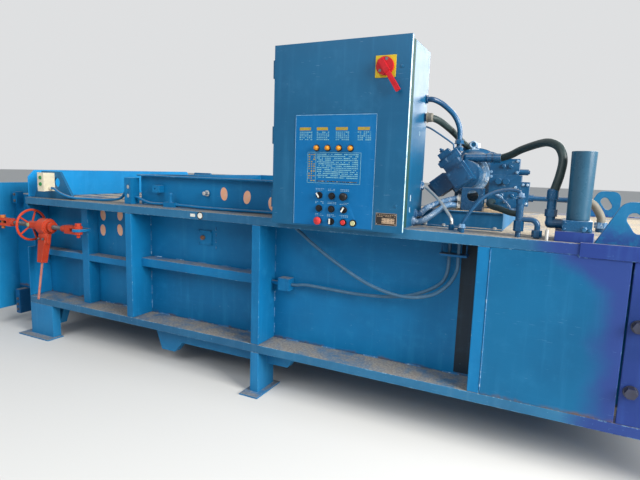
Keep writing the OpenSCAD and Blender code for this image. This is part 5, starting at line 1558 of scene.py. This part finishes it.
    def side(self) -> None:
        """Adds the gasket, which also paints the shade of the gap, the pale strip of painted highlight and
        wear along the door's edge, and scuffs on the side.
        """
        for name, x, (y0, y1), (z0, z1), thick, finish, node in (
            # The gasket strip is the real gasket and also the painted shade of the gap by the door.
            ("door_gasket_and_shade", self.side_x, (-0.0238, 0.0420), (1.054, 1.938), 0.0022, GASKET_AND_SHADE, "cabinet_box"),
            # The edge strip paints the highlight on the door's edge along with its worn paint.
            ("door_edge", 2.905, (-0.0485, -0.0345), (1.036, 1.939), 0.0006, EDGE_HIGHLIGHT_AND_WEAR, "cabinet_door"),
        ):
            outline = [(x, y0, z0), (x, y1, z0), (x, y1, z1), (x, y0, z1)]
            slab(name, outline, (thick, 0.0, 0.0), finish, node)
        for index, (y, z, size) in enumerate(self.scuffs):
            slab(f"side_scuff_{index + 1}", [
                (self.side_x, y - size * 0.4, z - size * 1.2), (self.side_x, y + size * 0.5, z - size),
                (self.side_x, y + size * 0.4, z + size * 1.1), (self.side_x, y - size * 0.3, z + size),
            ], (0.0004, 0.0, 0.0), SCUFF, "cabinet_box")

    def detail(self) -> None:
        """Adds print, the small plate, the gasket with painted gap shade, the edge strip of painted
        highlight and wear, and scuffs.
        """
        self.lines()
        plate = upright(2.7705, 1.0655, 2.8755, 1.1235, DOOR_Y)
        label("plate_rim", plate, 0.0012, PLATE_BRASS, "door_plates")
        self.printed("plate_field", (2.8020, 1.0740, 2.8660, 1.1000), PLATE_BRASS)
        for rows in self.dashes():
            self.tools.print_rows(rows)
        self.side()


@dataclass
class PowerUnit(SubAssembly):
    """Skid, motor, bell, pump, valves, filter and fittings."""

    finishes: dict[str, Finish] = field(default_factory=lambda: {
        "pump_skid": SKID_BLUE, "pump_motor": UNIT_BLUE, "bell_housing": UNIT_BLUE,
        "pump_body": UNIT_BLUE, "valve_manifold": UNIT_BLUE, "filter_canister": CANISTER_BLUE,
        "filter_head": NAVY, "hydraulic_fittings": UNIT_BLUE,
    })
    patches: dict[str, tuple[Patch, ...]] = field(default_factory=lambda: {
        "bell_housing": (
            Patch((2.90, 0.500, 1.20), (3.32, 0.5655, 1.46), WORN_BLUE),
            Patch((3.05, 0.66, 1.462), (3.12, 0.72, 1.53), WORN_BLUE),
        ),
        "filter_head": (Patch((3.50, 0.0, 1.0945), (3.80, 0.2, 1.16), UNIT_BLUE),),
        "hydraulic_fittings": (
            Patch((3.51, 0.01, 1.05), (3.545, 0.04, 1.10), ZINC),
            Patch((3.05, 0.06, 0.92), (3.21, 0.16, 1.039), DEEP_BLUE),
            Patch((3.73, 0.53, 1.069), (3.80, 0.62, 1.102), WORN_BLUE),
        ),
    })
    heads: tuple[Heads, ...] = (
        Heads("manifold_screws", "valve_manifold", [
            (3.215, 0.5395, 1.155), (3.365, 0.5395, 1.155), (3.215, 0.5395, 1.315), (3.345, 0.5395, 1.260),
            *grid((3.213, 3.345), 0.5445, (1.340, 1.400)), *grid((3.380, 3.403), 0.5475, (1.175, 1.275)),
        ], WORN_BLUE, 0.013, 0.009, 14),
        Heads("manifold_plugs", "valve_manifold", [
            *grid((3.276, 3.330), 0.5395, (1.215,)), *grid((3.276, 3.310), 0.5445, (1.372,)),
        ], UNIT_BLUE, 0.022, 0.010),
        Heads("pedestal_screws", "valve_manifold", grid((3.124, 3.213), 0.2475, (1.150, 1.247)),
              UNIT_BLUE, 0.009, 0.003, 14),
        Heads("motor_box_screws", "pump_motor", [
            *grid((3.018, 3.082), 0.790, (1.510,)), *grid((3.018, 3.082), 0.910, (1.510,)),
        ], ZINC, 0.009, 0.004, 14, Axis.UP),
        Heads("fan_screws", "pump_motor", motor_ring(4, 0.135, 1.1935), ZINC, 0.014, 0.008,
              axis=Axis.BACK),
        Heads("bell_screws", "bell_housing", motor_ring(8, 0.121, 0.6205), ZINC, 0.018, 0.012),
        Heads("filter_screws", "filter_head", [
            (3.595, 0.0275, 1.104), (3.690, 0.0275, 1.104), (3.595, 0.0275, 1.132),
        ], UNIT_BLUE, 0.012, 0.006),
        Heads("skid_bolts", "pump_skid", grid((2.945, 3.040, 3.290), 0.233, (1.058,)), ZINC,
              0.018, 0.010, axis=Axis.UP),
        Heads("hose_ends_level", "hydraulic_fittings", [(3.2325, 0.470, 1.412)], UNIT_BLUE,
              0.048, 0.040, 24, Axis.RIGHT),
        Heads("hose_ends_upright", "hydraulic_fittings", [(3.536, 0.120, 1.2255)], UNIT_BLUE,
              0.048, 0.045, 24, Axis.UP),
        Heads("small_hose_nuts", "hydraulic_fittings", [
            (3.164, 0.052, 1.0745), (3.410, 0.060, 1.231), (3.764, 0.575, 1.101),
        ], WORN_BLUE, 0.030, 0.016, axis=Axis.UP),
        Heads("conduit_nuts", "cabinet_box", [
            (2.896, 0.205, 1.108), (2.896, 0.165, 1.073), (2.896, 0.295, 1.252),
        ], WORN_BLUE, 0.044, 0.012, axis=Axis.RIGHT),
        Heads("side_nuts", "cabinet_box", [(2.896, 0.295, 1.701), (2.896, 0.288, 1.608)], UNIT_BLUE,
              0.042, 0.010, axis=Axis.RIGHT),
        Heads("pedestal_nuts", "valve_manifold", grid((3.0990,), 0.272, (1.198, 1.161)), ZINC,
              0.040, 0.016, axis=Axis.RIGHT),
        Heads("top_conduit_nuts", "pump_body", grid((3.048,), 0.450, (1.446, 1.484)), UNIT_BLUE,
              0.046, 0.022, axis=Axis.UP),
        Heads("cable_connector", "cabinet_box", [(2.908, 0.288, 1.608)], HOSE_BEIGE, 0.046, 0.030, 20,
              Axis.RIGHT),
    )
    radius: float = 0.0025
    dusty_skid: tuple[Level, ...] = ((2.935, 3.315, 0.25, 0.60, 1.140),)

    def detail(self) -> None:
        """Scatters grit on the skid."""
        self.tools.scatter("skid_grit", "pump_skid", self.dusty_skid, 2600.0, 0.0024, 14)


def in_unit(route: Sequence[Point]) -> list[Point]:
    """Route given in millimetres from the skid's corner on the deck."""
    return [(SKID_X + x / 1000, y / 1000, DECK_Z + z / 1000) for x, y, z in route]


def on_deck(route: Sequence[Point]) -> list[Point]:
    """Route given in millimetres from the frame's corner at the height of the deck."""
    return [(x / 1000, y / 1000, DECK_Z + z / 1000) for x, y, z in route]


@dataclass
class FlexibleLines:
    """Hoses, conduits and cables, each held at both ends."""

    tools: Workshop
    smooth_wall: Pair = (0.01, 0.0)
    ribbed: Pair = (0.0085, 0.0022)
    fine_ribs: Pair = (0.011, 0.0012)

    def hoses(self) -> None:
        """Lays the hydraulic hoses and the thin pipe."""
        for name, diameter, finish, route in (
            ("suction_hose", 0.038, RUBBER, [
                (312, 470, 362), (342, 470, 362), (396, 440, 378), (449, 400, 404), (531, 310, 428),
                (579, 240, 430), (622, 180, 406), (643, 150, 353), (637, 128, 282), (622, 120, 218),
                (616, 120, 190), (616, 120, 175.5)]),
            ("arch_hose", 0.016, UNIT_BLUE, [
                (244, 52, 24.5), (244, 52, 38), (260, 52, 72), (290, 52, 121), (329, 55, 168),
                (383, 60, 197), (437, 60, 210), (472, 60, 207), (488, 60, 198), (490, 60, 190),
                (490, 60, 180.5)]),
            ("lower_hose", 0.028, RUBBER, [
                (317, 529.5, 130), (317, 505, 130), (320, 420, 136), (323, 330, 134), (342, 250, 120),
                (385, 185, 115), (442, 140, 102), (480, 125, 98), (490, 110, 98), (490, 94.5, 98)]),
            ("thin_pipe", 0.010, WORN_BLUE, [
                (377, 529.5, 130), (377, 505, 130), (368, 400, 165), (358, 300, 173), (401, 200, 156),
                (438, 105, 133), (448, 64, 124), (458, 60, 122), (473.5, 60, 122)]),
            ("return_hose", 0.040, HOSE_BEIGE, [
                (720.5, 575, 155), (740, 575, 155), (792, 575, 146), (824, 575, 110), (842, 575, 75),
                (844, 575, 62), (844, 575, 50.5)]),
        ):
            self.tools.lay(Line(name, "hoses", diameter, finish, in_unit(route)))

    def conduits(self) -> None:
        """Lays the conduits of the power unit and those along the deck."""
        for name, diameter, finish, ribs, route in (
            ("top_conduit", 0.028, UNIT_BLUE, self.smooth_wall, [
                (-24.5, 295, 651), (5, 295, 651), (48, 345, 632), (95, 425, 584), (124, 450, 518),
                (128, 450, 450), (128, 450, 420), (128, 450, 395.5)]),
            ("low_conduit_upper", 0.032, WORN_BLUE, self.ribbed, [
                (-24.5, 205, 58), (-2, 205, 58), (32, 200, 92), (80, 228, 118), (130, 258, 137),
                (165, 270, 146), (180, 272, 148), (195.5, 272, 148)]),
            ("low_conduit_lower", 0.032, WORN_BLUE, self.ribbed, [
                (-24.5, 165, 23), (5, 165, 23), (45, 165, 42), (92, 188, 82), (134, 222, 112),
                (165, 264, 112), (180, 272, 111), (195.5, 272, 111)]),
            ("coil_cable", 0.009, UNIT_BLUE, self.smooth_wall, [
                (-40, 320.5, 520), (-40, 335, 520), (-5, 352, 506), (42, 368, 476), (92, 380, 442),
                (113, 385, 424), (114, 385, 403.5)]),
            ("motor_cable", 0.036, RUBBER, self.fine_ribs, [
                (-24.5, 288, 558), (0, 288, 558), (40, 346, 544), (84, 500, 498), (110, 660, 452),
                (122, 735, 438), (126, 762, 436), (126, 779.5, 436)]),
            ("pale_conduit", 0.016, ZINC, self.smooth_wall, [
                (-24.5, 295, 202), (-8, 295, 202), (80.5, 240, 141.7), (152, 165, 78), (175, 134, 55),
                (180, 130, 42), (180, 130, 28.5)]),
        ):
            self.tools.lay(Line(name, "conduits", diameter, finish, in_unit(route), ribs))
        for name, route in (
            ("station_conduit", [
                (283, 16, 77), (310, 16, 77), (370, 20, 45), (450, 47, 18), (540, 100, 12),
                (700, 128, 12), (838, 132, 30), (883, 137, 80), (898, 137, 90), (912.5, 137, 90)]),
            ("box_conduit", [
                (973.5, 137, 45), (998, 137, 45), (1040, 132, 32), (1120, 125, 15), (1225, 125, 15),
                (1254.5, 125, 15)]),
            ("tray_conduit", [
                (1345.5, 125, 15), (1375, 125, 15), (1600, 122, 11), (1900, 128, 12), (2150, 125, 15),
                (2189.5, 125, 15)]),
        ):
            self.tools.lay(Line(name, "conduits", 0.018, BLUE, on_deck(route), self.smooth_wall, 14))

    def cables(self) -> None:
        """Lays the two cables that hang in front of the panel."""
        left = in_unit([
            (180, 130, -40.5), (180, 130, -90), (180, 130, -145), (175, 130, -218), (144, 130, -278),
            (46, 132, -339), (-86, 136, -379), (-282, 140, -396), (-463, 143, -394), (-622, 145, -390)])
        left += on_deck([(2230, 145, -400), (2200.5, 145, -400)])
        right = in_unit([
            (230, 100, -40.5), (230, 100, -90), (230, 100, -145), (227, 100, -196), (193, 100, -266),
            (122, 98, -328), (21, 96, -358), (-87, 96, -357), (-228, 98, -322), (-378, 102, -252),
            (-534, 106, -162), (-645, 110, -85)])
        right += on_deck([(2240, 110, -60), (2240, 110, -40.5)])
        for name, route in (("switch_cable", left), ("cabinet_cable", right)):
            self.tools.lay(Line(name, "panel_cables", 0.018, CABLE, route, self.smooth_wall, 14))

    def dress(self) -> None:
        """Lays every line in place of its CAD solid."""
        self.hoses()
        self.conduits()
        self.cables()


def main() -> None:
    """Builds the setting and every sub-assembly in order, and reports each piece."""
    logging.basicConfig(level=logging.INFO, format="%(name)s: %(message)s")
    SceneSetting().build()
    tools = Workshop()
    for group in (
        PressBody(tools), DischargeDoor(tools), DoorLock(tools), PressRam(tools),
        ControlCabinet(tools), PowerUnit(tools), FlexibleLines(tools),
    ):
        known = set(bpy.context.scene.objects.keys())
        group.dress()
        for name in bpy.context.scene.objects.keys():
            if name not in known:
                LOG.info("%s: %s", type(group).__name__, name)


if __name__ == "__main__":
    main()
